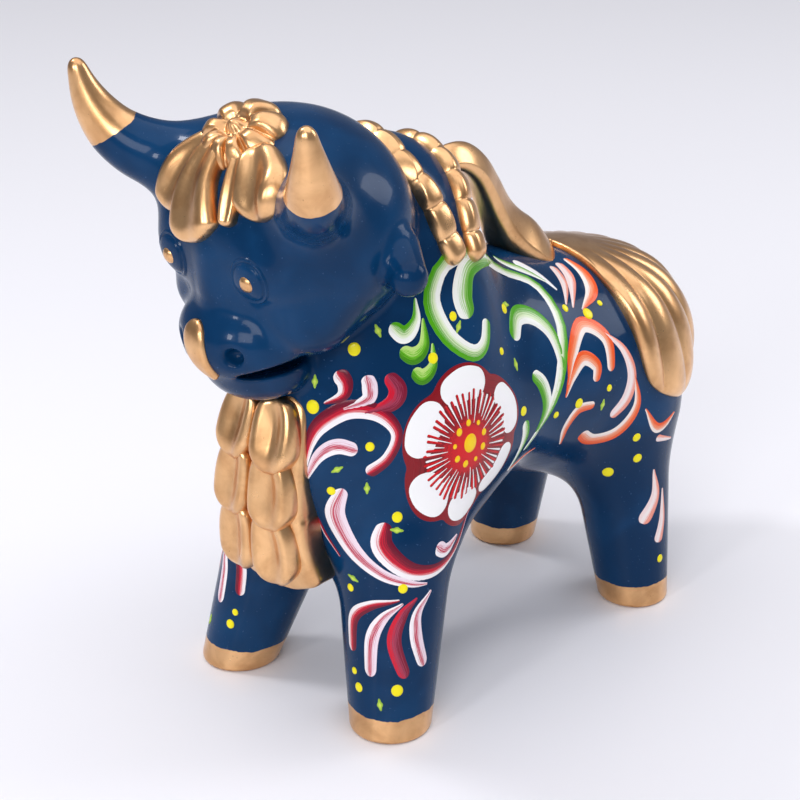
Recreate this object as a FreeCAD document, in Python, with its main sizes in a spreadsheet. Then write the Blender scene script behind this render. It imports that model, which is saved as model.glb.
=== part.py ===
"""Glazed ceramic bull with gilded trim: a hollow casting with modelled pieces stuck on before firing.

Millimetres and degrees. +X runs from tail to head, +Y to the bull's left side, +Z up.
The origin is on the ground, midway along the bull and on its middle plane.
"""

import FreeCAD
import Part
import os

# One row per rounded clay mass: centre x, y, z and half length, half width, half height.
MASSES = {
    "chest": (26.0, 0.0, 75.0, 38.0, 34.0, 43.0),
    "barrel": (-8.0, 0.0, 74.0, 50.0, 31.0, 26.0),
    "rump": (-42.0, 0.0, 67.0, 40.0, 32.0, 31.0),
    "neck_mass": (26.5, 0.0, 107.0, 28.0, 23.5, 37.5),
    "cranium": (53.0, 0.0, 129.0, 27.0, 30.0, 27.0),
    "snout_bridge": (63.0, 0.0, 114.5, 18.5, 21.0, 19.0),
    "muzzle": (70.5, 0.0, 105.0, 12.5, 15.5, 12.5),
    "chin": (65.0, 0.0, 97.5, 12.0, 13.5, 8.0),
    "ear": (49.0, 31.5, 124.5, 6.0, 7.5, 5.0),
    "ear_dish": (53.0, 35.0, 124.0, 4.5, 4.5, 3.0),
    "mouth_slot": (74.0, 0.0, 99.5, 10.0, 15.5, 0.9),
    "backing": (58.0, 0.0, 63.0, 9.0, 13.0, 27.0),
    "blossom": (69.0, 0.0, 153.5, 8.5, 10.0, 4.6),
}

# One row per hanging forelock petal: centre x, y, z, half width, half length, half thickness,
# then its lean forward from level and its turn to the side.
PETALS = {
    "petal_middle": (79.8, -3.5, 140.0, 6.2, 10.0, 2.8, 72.0, -3.0),
    "petal_right": (73.5, -18.5, 141.0, 6.2, 10.5, 3.0, 62.0, -42.0),
    "petal_fold": (77.8, 6.0, 143.5, 2.8, 8.0, 2.4, 66.0, 8.0),
    "petal_left": (74.5, 13.8, 144.0, 4.6, 8.5, 2.8, 60.0, 28.0),
}

# The two ruffled collars: centre x and z, ring radius, bead radius and lean.
COLLARS = {
    "collar_front": (26.5, 121.0, 26.0, 4.2, 12.0),
    "collar_rear": (15.5, 117.5, 24.0, 4.2, -8.0),
}

# Single values: widths, heights, wall thicknesses and angles.
SINGLES = {
    "wall": 4.5,
    "vent_x": -9.0,
    "vent_y": 8.0,
    "vent_diameter": 6.0,
    "hip_x": -48.0,
    "hip_y": 18.0,
    "hip_top": 58.0,
    "shoulder_x": 39.0,
    "shoulder_y": 19.0,
    "shoulder_top": 52.0,
    "thigh_radius": 15.5,
    "front_left_foot_x": 46.0,
    "front_left_foot_y": 24.5,
    "front_left_foot_radius": 10.5,
    "front_right_foot_x": 51.0,
    "front_right_foot_y": -27.5,
    "front_right_foot_radius": 9.8,
    "rear_left_foot_x": -49.0,
    "rear_left_foot_y": 26.0,
    "rear_left_foot_radius": 9.6,
    "rear_right_foot_x": -50.0,
    "rear_right_foot_y": -24.5,
    "rear_right_foot_radius": 9.6,
    "sole_rounding": 1.6,
    "leg_wall": 4.8,
    "sole_thickness": 9.0,
    "eye_x": 74.5,
    "eye_y": 13.0,
    "eye_z": 124.5,
    "eye_radius": 5.2,
    "eye_depth": 4.0,
    "eye_turn": 20.0,
    "eye_tilt": 84.0,
    "nostril_x": 77.5,
    "nostril_y": 8.0,
    "nostril_z": 105.3,
    "nostril_radius": 1.6,
    "nostril_depth": 10.0,
    "tier_x": 65.0,
    "tier_y": 6.6,
    "tier_top": 79.5,
    "tier_step": 15.0,
    "lobe_half_length": 6.4,
    "lobe_half_width": 6.5,
    "lobe_half_height": 7.4,
    "drape_thickness": 3.2,
    "drape_spine_x": -38.0,
    "drape_spine_z": 99.0,
    "drape_lean": 28.0,
    "drape_bottom": 53.0,
    "strap_half_thickness": 3.0,
}

# Stations along the curved pieces: x, y, z and radius at each.
HORN_STATIONS = (
    (57.0, 8.0, 143.0, 9.5),
    (66.0, 19.5, 142.6, 9.8),
    (73.0, 28.8, 144.8, 8.9),
    (78.0, 34.8, 151.5, 6.6),
    (80.8, 37.0, 159.0, 4.0),
    (82.6, 37.5, 165.0, 1.5),
)
TONGUE_STATIONS = (
    (80.5, 0.0, 111.0, 1.6),
    (82.3, 0.0, 108.0, 3.2),
    (82.6, 0.0, 103.0, 3.5),
    (79.5, 0.0, 97.5, 3.2),
    (75.5, 0.0, 94.0, 1.8),
)
# The back handle's stations give half its width in place of a radius.
HANDLE_STATIONS = (
    (6.0, 0.0, 134.0, 5.5),
    (-4.0, 0.0, 134.5, 5.5),
    (-12.0, 0.0, 128.0, 5.5),
    (-18.0, 0.0, 119.0, 5.5),
    (-24.0, 0.0, 109.0, 6.5),
    (-31.0, 0.0, 102.0, 8.0),
    (-36.0, 0.0, 93.0, 8.5),
)

MASS_FIELDS = ("x", "y", "z", "half_length", "half_width", "half_height")
PETAL_FIELDS = ("x", "y", "z", "half_width", "half_length", "half_thickness", "lean", "turn")
COLLAR_FIELDS = ("x", "z", "radius", "bead", "lean")
STATION_FIELDS = ("x", "y", "z", "radius")
STATIONS = {"horn": HORN_STATIONS, "tongue": TONGUE_STATIONS, "handle": HANDLE_STATIONS}
LEFT = 1
RIGHT = -1
SIDES = {"left": LEFT, "right": RIGHT}
ROOM = 400.0
UP = FreeCAD.Vector(0, 0, 1)
FORWARD = FreeCAD.Vector(1, 0, 0)
SIDEWAYS = FreeCAD.Vector(0, 1, 0)
# A mass is laid down so that its two poles are clear of where other pieces meet it: across the bull
# for the body, whose middle plane parts its halves, and along it for the head.
LYING = {
    "across": (("half_width", "half_length", "half_height"), FreeCAD.Rotation(FORWARD, 90)),
    "along": (
        ("half_length", "half_width", "half_height"),
        FreeCAD.Rotation(SIDEWAYS, UP, FORWARD, "ZXY"),
    ),
}

doc = FreeCAD.newDocument("ceramic_bull")
sheet = doc.addObject("Spreadsheet::Sheet", "Sizes")
subparts = []


def fill_sheet():
    """Writes every driving size into the spreadsheet, one aliased cell to a row."""
    rows = dict(SINGLES)
    tables = ((MASSES, MASS_FIELDS), (PETALS, PETAL_FIELDS), (COLLARS, COLLAR_FIELDS))
    for table, fields in tables:
        for name, values in table.items():
            rows.update({f"{name}_{field}": value for field, value in zip(fields, values)})
    for name, stations in STATIONS.items():
        for number, values in enumerate(stations):
            for field, value in zip(STATION_FIELDS, values):
                rows[f"{name}_{number}_{field}"] = value
    for row, (alias, value) in enumerate(rows.items(), start=1):
        sheet.set(f"A{row}", alias)
        sheet.set(f"B{row}", str(value))
        sheet.setAlias(f"B{row}", alias)
    doc.recompute()


def size(alias):
    """The number in the cell with this alias."""
    return float(sheet.get(alias))


def bind(item, **expressions):
    """Ties properties of a document object to spreadsheet cells."""
    for name, expression in expressions.items():
        item.setExpression(name, expression)
    return item


def ellipsoid(name, prefix, side=LEFT, shrink="0", rotation=FreeCAD.Rotation(), lying="across"):
    """A rounded mass from its row of the table, on the left or mirrored to the right.

    It is made smaller all round by shrink, turned by rotation, and its poles lie across or along."""
    fields, lie = LYING[lying]
    radii = [f"Sizes.{prefix}_{field} - ({shrink})" for field in fields]
    mass = doc.addObject("Part::Ellipsoid", name)
    bind(mass, Radius1=radii[0], Radius2=radii[1], Radius3=radii[2])
    centre = FreeCAD.Vector(size(prefix + "_x"), side * size(prefix + "_y"), size(prefix + "_z"))
    mass.Placement = FreeCAD.Placement(centre, rotation.multiply(lie))
    return mass


def fuse(name, shapes):
    """All these shapes as one."""
    item = doc.addObject("Part::MultiFuse", name)
    item.Shapes = shapes
    return item


def cut(name, base, tool):
    """The base shape without what the tool covers."""
    item = doc.addObject("Part::Cut", name)
    item.Base = base
    item.Tool = tool
    return item


def trim(name, base, tools):
    """The base shape cut by each tool in turn."""
    for number, tool in enumerate(tools[:-1]):
        base = cut(f"{name}_trim_{number}", base, tool)
    return cut(name, base, tools[-1])


def common(name, first, second):
    """What two shapes share."""
    item = doc.addObject("Part::Common", name)
    item.Base = first
    item.Tool = second
    return item


def keep(item):
    """Marks an object as a sub-part, whose label names its file."""
    item.Label = item.Name
    subparts.append(item)
    return item


def facing(direction, across):
    """The turn that sends a flat section's normal along a direction and its first axis near another."""
    return FreeCAD.Rotation(across, direction.cross(across), direction, "ZXY")


def circle(name, centre, direction, radius):
    """A circle round a path, square to the path's direction, with its radius given as an expression."""
    ring = bind(doc.addObject("Part::Circle", name), Radius=radius)
    ring.Placement = FreeCAD.Placement(centre, facing(direction, FORWARD))
    return ring


def loft(name, sections):
    """A smooth solid through closed sections."""
    item = doc.addObject("Part::Loft", name)
    item.Sections = sections
    item.Solid = True
    item.Ruled = False
    return item


def station_points(prefix):
    """The points of a station table."""
    stations = range(len(STATIONS[prefix]))
    return [FreeCAD.Vector(*[size(f"{prefix}_{n}_{axis}") for axis in "xyz"]) for n in stations]


def tangents(points):
    """The path's direction at each point, from the points either side of it."""
    last = len(points) - 1
    return [points[min(n + 1, last)] - points[max(n - 1, 0)] for n in range(last + 1)]


def tapered_rod(name, prefix):
    """A round rod along a station table, with its own radius at each station."""
    points = station_points(prefix)
    rings = [
        circle(f"{name}_ring_{n}", point, direction, f"Sizes.{prefix}_{n}_radius")
        for n, (point, direction) in enumerate(zip(points, tangents(points)))
    ]
    return loft(name, rings)


def box(name, corner, sides, rotation=None):
    """A plain box that limits or cuts another shape."""
    item = doc.addObject("Part::Box", name)
    item.Length, item.Width, item.Height = sides
    item.Placement = FreeCAD.Placement(FreeCAD.Vector(*corner), rotation or FreeCAD.Rotation())
    return item


def leg_loft(name, top, foot, radii):
    """A straight leg from the sole's edge up to a point inside the body.

    The radii are expressions for the sole, the hoof just above it and the top."""
    rise = FreeCAD.Vector(0, 0, size("sole_rounding"))
    middle = (top + foot) * 0.5
    sections = [
        circle(name + "_sole", foot, UP, radii[0]),
        circle(name + "_hoof", foot + rise, UP, radii[1]),
        circle(name + "_knee", middle, UP, f"({radii[1]} + {radii[2]}) / 2 - 0.6"),
        circle(name + "_top", top, UP, radii[2]),
    ]
    return loft(name, sections)


def make_legs():
    """The four legs' outer shapes and the hollows inside them."""
    outers = {}
    hollows = []
    for end, joint in (("front", "shoulder"), ("rear", "hip")):
        for hand, side in SIDES.items():
            name = f"{end}_{hand}"
            top = FreeCAD.Vector(size(joint + "_x"), side * size(joint + "_y"), size(joint + "_top"))
            foot = FreeCAD.Vector(size(name + "_foot_x"), size(name + "_foot_y"), 0)
            hoof = f"Sizes.{name}_foot_radius"
            radii = (hoof + " - Sizes.sole_rounding", hoof, "Sizes.thigh_radius")
            outers[name] = leg_loft(f"leg_{name}_outer", top, foot, radii)
            share = size("sole_thickness") / top.z
            floor = foot + (top - foot) * share
            thin = (
                hoof + " - Sizes.leg_wall - Sizes.sole_rounding",
                hoof + " - Sizes.leg_wall",
                "Sizes.thigh_radius - Sizes.leg_wall",
            )
            hollows.append(leg_loft(f"leg_{name}_hollow", top, floor, thin))
    return outers, hollows


def make_casting():
    """The hollow casting: two body halves, neck, head and legs, which share one cavity."""
    outers, leg_hollows = make_legs()
    torso = fuse("torso_outer", [ellipsoid(p + "_outer", p) for p in ("chest", "barrel", "rump")])
    neck = ellipsoid("neck_outer", "neck_mass")
    head_parts = ("cranium", "snout_bridge", "muzzle", "chin")
    head = fuse("head_outer", [ellipsoid(p + "_outer", p, lying="along") for p in head_parts])
    hollow_parts = ("chest", "barrel", "rump", "neck_mass")
    hollows = [ellipsoid(p + "_hollow", p, shrink="Sizes.wall") for p in hollow_parts]
    hollows.append(ellipsoid("cranium_hollow", "cranium", shrink="Sizes.wall", lying="along"))
    cavity = fuse("cavity", hollows + leg_hollows)

    vent = bind(
        doc.addObject("Part::Cylinder", "vent_drill"),
        Radius="Sizes.vent_diameter / 2",
        Height="Sizes.barrel_z",
    )
    vent.Placement.Base = FreeCAD.Vector(size("vent_x"), size("vent_y"), 0)
    drills = {"left": [cavity, vent], "right": [cavity]}
    for hand, side in SIDES.items():
        corner = (-ROOM / 2, min(0, side) * ROOM / 2, 0)
        space = box(f"{hand}_space", corner, (ROOM, ROOM / 2, ROOM / 2))
        half = common(f"torso_{hand}", torso, space)
        keep(trim(f"body_half_{hand}", half, drills[hand]))
    keep(trim("neck", neck, [torso, cavity]))
    stout = fuse("body_outer", [torso, neck])
    for name, outer in outers.items():
        keep(trim(f"leg_{name}", outer, [torso, cavity]))
    return torso, stout, head, cavity


def make_face(stout, head, cavity):
    """The head with its eye sockets, nostrils and mouth, and the eyes and tongue set in it."""
    sockets = []
    for hand, side in SIDES.items():
        eye = bind(
            doc.addObject("Part::Cylinder", f"eye_{hand}"),
            Radius="Sizes.eye_radius",
            Height="Sizes.eye_depth",
        )
        seat = FreeCAD.Vector(size("eye_x"), side * size("eye_y"), size("eye_z"))
        turn = FreeCAD.Rotation(side * size("eye_turn"), size("eye_tilt"), 0)
        eye.Placement = FreeCAD.Placement(seat, turn)
        sockets.append(keep(eye))
        nostril = bind(
            doc.addObject("Part::Cylinder", f"nostril_{hand}"),
            Radius="Sizes.nostril_radius",
            Height="Sizes.nostril_depth",
        )
        pit = FreeCAD.Vector(size("nostril_x"), side * size("nostril_y"), size("nostril_z"))
        nostril.Placement = FreeCAD.Placement(pit, FreeCAD.Rotation(side * size("eye_turn"), 90, 0))
        sockets.append(nostril)
    sockets.append(ellipsoid("mouth", "mouth_slot", lying="along"))
    tongue_rod = tapered_rod("tongue_rod", "tongue")
    keep(cut("tongue", tongue_rod, head))
    keep(trim("head", head, [stout, cavity, fuse("face_sockets", sockets)]))


def make_horns_and_ears(head):
    """Horns that rise from the brow and dished ears, all butted against the head."""
    left_rod = tapered_rod("horn_left_rod", "horn")
    right_rod = doc.addObject("Part::Mirroring", "horn_right_rod")
    right_rod.Source = left_rod
    right_rod.Normal = SIDEWAYS
    horns = [left_rod, right_rod]
    for (hand, side), rod in zip(SIDES.items(), horns):
        keep(cut(f"horn_{hand}", rod, head))
        lobe = ellipsoid(f"ear_{hand}_lobe", "ear", side)
        dish = ellipsoid(f"ear_{hand}_dish", "ear_dish", side)
        keep(trim(f"ear_{hand}", lobe, [head, dish]))
    return horns


def make_rosette(head, horns):
    """The forelock flower: a blossom on the brow and the petals that hang under it."""
    blossom = ellipsoid("blossom_mass", "blossom", rotation=FreeCAD.Rotation(0, 30, 0))
    keep(trim("rosette_blossom", blossom, [head] + horns))
    for prefix in PETALS:
        petal = doc.addObject("Part::Ellipsoid", prefix + "_mass")
        bind(
            petal,
            Radius1=f"Sizes.{prefix}_half_thickness",
            Radius2=f"Sizes.{prefix}_half_length",
            Radius3=f"Sizes.{prefix}_half_width",
        )
        centre = FreeCAD.Vector(size(prefix + "_x"), size(prefix + "_y"), size(prefix + "_z"))
        turn = FreeCAD.Rotation(size(prefix + "_turn"), size(prefix + "_lean"), 0)
        petal.Placement = FreeCAD.Placement(centre, turn)
        keep(trim("rosette_" + prefix, petal, [head, blossom] + horns))


def make_dewlap(stout, head):
    """The gilded dewlap: a backing strip on the chest with three tiers of paired lobes."""
    backing = ellipsoid("backing_mass", "backing")
    keep(trim("dewlap_backing", backing, [stout, head]))
    for tier, level in enumerate(("upper", "middle", "lower")):
        for hand, side in SIDES.items():
            name = f"dewlap_lobe_{level}_{hand}"
            lobe = doc.addObject("Part::Ellipsoid", name + "_mass")
            bind(
                lobe,
                Radius1="Sizes.lobe_half_height",
                Radius2="Sizes.lobe_half_length",
                Radius3="Sizes.lobe_half_width",
            )
            lobe.Placement.Base = FreeCAD.Vector(
                size("tier_x"), side * size("tier_y"), size("tier_top") - tier * size("tier_step")
            )
            keep(trim(name, lobe, [stout, backing]))


def make_collars(stout, head):
    """Two ruffled collars over the neck, each half a ring that leans so that its ends sit fore or aft."""
    for name in COLLARS:
        ring = bind(
            doc.addObject("Part::Torus", name + "_ring"),
            Radius1=f"Sizes.{name}_radius",
            Radius2=f"Sizes.{name}_bead",
            Angle3="180",
        )
        centre = FreeCAD.Vector(size(name + "_x"), 0, size(name + "_z"))
        upright = FreeCAD.Rotation(SIDEWAYS, FORWARD.cross(SIDEWAYS), FORWARD, "ZXY")
        lean = FreeCAD.Rotation(SIDEWAYS, size(name + "_lean"))
        ring.Placement = FreeCAD.Placement(centre, lean.multiply(upright))
        keep(trim(name, ring, [stout, head]))


def make_handle(stout):
    """The strap that arches from the back of the neck to the saddle, with a finger gap under it."""
    points = station_points("handle")
    sections = []
    for number, (point, direction) in enumerate(zip(points, tangents(points))):
        section = doc.addObject("Part::Ellipse", f"handle_section_{number}")
        bind(
            section,
            MajorRadius=f"Sizes.handle_{number}_radius",
            MinorRadius="Sizes.strap_half_thickness",
        )
        section.Placement = FreeCAD.Placement(point, facing(direction, SIDEWAYS))
        sections.append(section)
    strap = loft("handle_strap", sections)
    keep(cut("back_handle", strap, stout))


def make_drape(torso):
    """The pleated cloth over the rump: a layer on the body, behind a leaning edge and above a hem."""
    layer = ellipsoid("drape_layer", "rump", shrink="-Sizes.drape_thickness")
    lean = FreeCAD.Rotation(0, size("drape_lean"), 0)
    reach = lean.multVec(FreeCAD.Vector(-ROOM / 2, -ROOM / 4, -ROOM / 4))
    spine = FreeCAD.Vector(size("drape_spine_x"), 0, size("drape_spine_z"))
    behind = box("drape_edge", tuple(spine + reach), (ROOM / 2, ROOM / 2, ROOM / 2), lean)
    above = box("drape_hem", (-ROOM / 2, -ROOM / 4, size("drape_bottom")), (ROOM, ROOM / 2, ROOM / 4))
    region = common("drape_region", behind, above)
    keep(cut("rump_drape", common("drape_patch", layer, region), torso))


def check_and_write():
    """Stops at any failed object or unsound shape, then writes every sub-part to its own file."""
    doc.recompute()
    for item in doc.Objects:
        if "Invalid" in item.State or "Error" in item.State:
            raise RuntimeError(f"{item.Label} did not build: {item.State}")
    for item in subparts:
        if item.Shape.isNull() or not item.Shape.isValid() or not item.Shape.Solids:
            raise RuntimeError(f"{item.Label} is not a sound solid")
    os.makedirs("parts", exist_ok=True)
    for item in subparts:
        item.Shape.exportStep(f"parts/{item.Label}.step")
        print(f"{item.Label}: {len(item.Shape.Solids)} solid, {item.Shape.Volume / 1000:.2f} cm3")


def main():
    """Builds the bull piece by piece and writes it."""
    fill_sheet()
    torso, stout, head, cavity = make_casting()
    make_face(stout, head, cavity)
    horns = make_horns_and_ears(head)
    make_rosette(head, horns)
    make_dewlap(stout, head)
    make_collars(stout, head)
    make_handle(stout)
    make_drape(torso)
    check_and_write()


main()
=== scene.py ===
"""Glazed ceramic bull with gilded trim and brushed enamel flowers.

Lengths in the classes are millimetres; a finished mesh is written in metres. +X runs from tail to head, +Y to the
bull's left side, +Z up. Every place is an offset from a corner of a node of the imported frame.
"""

import logging
import math
from dataclasses import dataclass, field
from enum import Enum
from functools import lru_cache

import bpy
import numpy as np
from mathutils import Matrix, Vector


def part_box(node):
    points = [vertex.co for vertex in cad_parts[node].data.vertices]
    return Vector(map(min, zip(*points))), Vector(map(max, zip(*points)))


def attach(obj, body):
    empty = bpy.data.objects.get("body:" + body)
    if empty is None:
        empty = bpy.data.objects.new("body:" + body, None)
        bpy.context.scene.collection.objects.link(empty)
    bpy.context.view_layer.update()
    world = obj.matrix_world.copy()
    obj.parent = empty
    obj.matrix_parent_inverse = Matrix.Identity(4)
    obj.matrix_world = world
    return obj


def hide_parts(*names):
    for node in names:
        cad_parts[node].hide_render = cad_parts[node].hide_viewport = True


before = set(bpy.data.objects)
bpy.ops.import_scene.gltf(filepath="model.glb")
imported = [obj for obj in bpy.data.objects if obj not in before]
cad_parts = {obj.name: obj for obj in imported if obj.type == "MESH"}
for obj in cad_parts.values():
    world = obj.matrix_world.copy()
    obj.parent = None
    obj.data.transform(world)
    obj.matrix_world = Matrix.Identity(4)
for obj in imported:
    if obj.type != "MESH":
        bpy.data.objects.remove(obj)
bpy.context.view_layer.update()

logging.basicConfig(level=logging.INFO, format="%(message)s")
LOG = logging.getLogger("bull")
MM = 0.001
Array = np.ndarray
Point = tuple[float, float, float]


# ---------------------------------------------------------------- places


@lru_cache(maxsize=None)
def node_box(node: str) -> tuple[Point, Point]:
    """Reads the box of a frame node.

    Args:
        node: name of the node.

    Returns:
        Its lowest and highest corners in millimetres.
    """
    low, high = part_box(node)
    return tuple(c / MM for c in low), tuple(c / MM for c in high)


def datum(node: str, x: float, y: float, z: float) -> Array:
    """Finds a point of a node's box.

    Args:
        node: name of the node.
        x: -1 for the rearmost face, 0 for the middle, 1 for the foremost.
        y: the same from right to left.
        z: the same from bottom to top.

    Returns:
        The point in millimetres.
    """
    low, high = (np.array(c) for c in node_box(node))
    t = (np.array((x, y, z), float) + 1) / 2
    return low + (high - low) * t


# ---------------------------------------------------------------- shader graph


class Value:
    """One output socket of a shader graph, on which arithmetic adds Math nodes."""

    def __init__(self, graph: "Graph", socket: bpy.types.NodeSocket) -> None:
        """Keeps the graph and the socket."""
        self.graph = graph
        self.socket = socket

    def math(self, operation: str, *terms: object, clamp: bool = False) -> "Value":
        """Adds a Math node.

        Args:
            operation: Blender's name of the operation.
            terms: numbers or values, in the order of the node's sockets.
            clamp: whether the result is held between 0 and 1.

        Returns:
            The result.
        """
        return self.graph.node("ShaderNodeMath", {"operation": operation, "use_clamp": clamp}, dict(enumerate(terms)))

    def __add__(self, other: object) -> "Value":
        """Returns self + other."""
        return self.math("ADD", self, other)

    def __radd__(self, other: object) -> "Value":
        """Returns other + self."""
        return self.math("ADD", other, self)

    def __sub__(self, other: object) -> "Value":
        """Returns self - other."""
        return self.math("SUBTRACT", self, other)

    def __rsub__(self, other: object) -> "Value":
        """Returns other - self."""
        return self.math("SUBTRACT", other, self)

    def __mul__(self, other: object) -> "Value":
        """Returns self * other."""
        return self.math("MULTIPLY", self, other)

    def __rmul__(self, other: object) -> "Value":
        """Returns other * self."""
        return self.math("MULTIPLY", other, self)

    def __abs__(self) -> "Value":
        """Returns the size of self."""
        return self.math("ABSOLUTE", self)

    def step(self, low: float, high: float) -> "Value":
        """Rises smoothly from 0 to 1.

        Args:
            low: where the rise starts.
            high: where it ends.

        Returns:
            The ramp's value.
        """
        settings = {"interpolation_type": "SMOOTHSTEP"}
        return self.graph.node("ShaderNodeMapRange", settings, {0: self, 1: low, 2: high, 3: 0.0, 4: 1.0})


class Graph:
    """The node graph of one material."""

    def __init__(self, name: str) -> None:
        """Makes an empty material of that name."""
        self.material = bpy.data.materials.new(name)
        self.material.use_nodes = True
        self.tree = self.material.node_tree
        self.tree.nodes.clear()

    def node(self, kind: str, settings: dict, sockets: dict, output: object = 0) -> Value | None:
        """Adds a node: its settings first, then the values and links of its sockets.

        Args:
            kind: Blender's type name of the node.
            settings: attributes to set.
            sockets: socket name or number against a number, a tuple or a Value.
            output: name or number of the output that is returned.

        Returns:
            The output as a Value, or None if the node has no outputs.
        """
        made = self.tree.nodes.new(kind)
        for key, setting in settings.items():
            setattr(made, key, setting)
        for key, value in sockets.items():
            if isinstance(value, Value):
                self.tree.links.new(value.socket, made.inputs[key])
            else:
                made.inputs[key].default_value = value
        return Value(self, made.outputs[output]) if made.outputs else None

    def place(self) -> Value:
        """Returns the Object coordinates, in metres."""
        return self.node("ShaderNodeTexCoord", {}, {}, "Object")

    def brush(self) -> Value:
        """Returns the piece's own UV map: along the stroke, and across it."""
        return self.node("ShaderNodeUVMap", {"uv_map": "stroke"}, {})

    def split(self, vector: Value) -> tuple[Value, Value, Value]:
        """Returns the three parts of a vector."""
        first = self.node("ShaderNodeSeparateXYZ", {}, {0: vector}, 0)
        outputs = first.socket.node.outputs
        return first, Value(self, outputs[1]), Value(self, outputs[2])

    def scaled(self, vector: Value, by: Point) -> Value:
        """Returns a vector multiplied part by part."""
        return self.node("ShaderNodeVectorMath", {"operation": "MULTIPLY"}, {0: vector, 1: by})

    def noise(self, vector: Value, scale: float, detail: float = 2.0, rough: float = 0.5, bend: float = 0.0) -> Value:
        """Adds a noise texture.

        Args:
            vector: the coordinates it reads.
            scale: cells per unit of the coordinates.
            detail: number of octaves.
            rough: strength of each finer octave.
            bend: how far the pattern is warped.

        Returns:
            The noise between 0 and 1.
        """
        sockets = {"Vector": vector, "Scale": scale, "Detail": detail, "Roughness": rough, "Distortion": bend}
        return self.node("ShaderNodeTexNoise", {}, sockets)

    def mix(self, first: object, second: object, factor: object) -> Value:
        """Mixes two colours by a factor and returns the result."""
        first, second = (c if isinstance(c, Value) else (*c, 1.0) for c in (first, second))
        settings = {"data_type": "RGBA", "clamp_factor": True}
        return self.node("ShaderNodeMix", settings, {0: factor, 6: first, 7: second}, 2)

    def bump(self, height: Value, depth: float, strength: float = 1.0) -> Value:
        """Turns a height between 0 and 1 into a normal.

        Args:
            height: the height.
            depth: height of 1 in metres.
            strength: how much of it is used.

        Returns:
            The normal.
        """
        return self.node("ShaderNodeBump", {}, {"Height": height, "Distance": depth, "Strength": strength})

    def surface(self, **sockets: object) -> Value:
        """Adds a Principled shader, with underscores in the names of its sockets, and returns it."""
        named = {key.replace("_", " "): value for key, value in sockets.items()}
        return self.node("ShaderNodeBsdfPrincipled", {}, named)

    def finish(self, shader: Value) -> bpy.types.Material:
        """Wires the shader to the output and returns the material."""
        self.node("ShaderNodeOutputMaterial", {}, {0: shader})
        return self.material


# ---------------------------------------------------------------- finishes


class Gilding(Enum):
    """Where gold lustre is brushed over the glaze."""

    NONE = "none"
    HOOF = "hoof"
    HORN = "horn"


@dataclass(frozen=True)
class GoldLustre:
    """Gold lustre fired over the glaze: a thin metal skin, brighter where thick, with fine pits and brush marks."""

    bright: Point = (0.80, 0.47, 0.22)
    thin: Point = (0.62, 0.33, 0.14)
    pit: Point = (0.30, 0.13, 0.045)
    gloss: float = 0.24

    def shader(self, graph: Graph) -> Value:
        """Builds the metal on a graph and returns its shader."""
        place = graph.place()
        cloud = graph.noise(place, 140.0, 4.0, 0.55, 0.4)
        grain = graph.noise(place, 2600.0, 3.0, 0.6)
        pits = graph.noise(place, 1500.0, 2.0, 0.5).step(0.69, 0.76) * graph.noise(place, 90.0, 2.0).step(0.45, 0.62)
        metal = graph.mix(self.bright, self.thin, cloud.step(0.35, 0.72))
        colour = graph.mix(metal, self.pit, pits * 0.75)
        rough = self.gloss + 0.10 * cloud + 0.10 * grain.step(0.45, 0.75) + 0.15 * pits
        height = 0.5 * grain + 0.5 * graph.noise(place, 300.0, 3.0) - 0.8 * pits
        normal = graph.bump(height, 0.00003, 0.7)
        return graph.surface(
            Base_Color=colour, Metallic=1.0, Roughness=rough, Normal=normal, Coat_Weight=0.35, Coat_Roughness=0.06
        )

    def material(self) -> bpy.types.Material:
        """Returns the gold as a material."""
        graph = Graph("gold_lustre")
        return graph.finish(self.shader(graph))


@dataclass(frozen=True)
class NavyGlaze:
    """Deep blue glaze: glossy, a little lighter where it runs thin, with the fine ripples of the modelling tool."""

    deep: Point = (0.0014, 0.026, 0.082)
    thin: Point = (0.0036, 0.044, 0.128)
    speck: Point = (0.03, 0.08, 0.19)

    def shader(self, graph: Graph) -> Value:
        """Builds the glaze on a graph and returns its shader."""
        place = graph.place()
        flow = graph.noise(place, 45.0, 3.0, 0.5, 0.6)
        specks = graph.noise(place, 1300.0, 1.0).step(0.735, 0.76)
        tone = graph.mix(self.deep, self.thin, flow.step(0.35, 0.75))
        colour = graph.mix(tone, self.speck, specks * 0.6)
        rings = graph.noise(graph.scaled(place, (1.0, 0.35, 1.6)), 480.0, 2.0, 0.45, 0.8)
        swell = graph.noise(place, 85.0, 2.0, 0.5)
        height = 0.14 * rings + 0.9 * swell
        rough = 0.16 + 0.10 * flow + 0.10 * specks
        return graph.surface(
            Base_Color=colour,
            Roughness=rough,
            Specular_IOR_Level=0.07,
            Coat_Weight=0.16,
            Coat_Roughness=0.03,
            Normal=graph.bump(height, 0.00035, 0.6),
        )

    def material(self, name: str, gilding: Gilding, gold: GoldLustre) -> bpy.types.Material:
        """Makes the glaze, with gold brushed over the hooves or the horn tips.

        Args:
            name: name of the material.
            gilding: where the gold goes.
            gold: the gold.

        Returns:
            The material.
        """
        graph = Graph(name)
        glaze = self.shader(graph)
        if gilding is Gilding.NONE:
            return graph.finish(glaze)
        place = graph.place()
        along, across, up = graph.split(place)
        ragged = graph.noise(place, 130.0, 3.0, 0.6) - 0.5
        if gilding is Gilding.HOOF:
            mask = (ragged * 0.0024 + 0.0066 - up).step(-0.00008, 0.00008)
        else:
            root = datum("horn_left", 1, 1, 1) * MM + np.array((-7.4, -6.3, -17.0)) * MM
            axis = np.array((0.42, 0.36, 0.83))
            reach = float(root @ axis)
            travel = along * axis[0] + abs(across) * axis[1] + up * axis[2] - reach
            mask = (travel + ragged * 0.0022).step(-0.00008, 0.00008)
        return graph.finish(
            graph.node("ShaderNodeMixShader", {}, {0: mask, 1: glaze, 2: gold.shader(graph)})
        )


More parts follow.
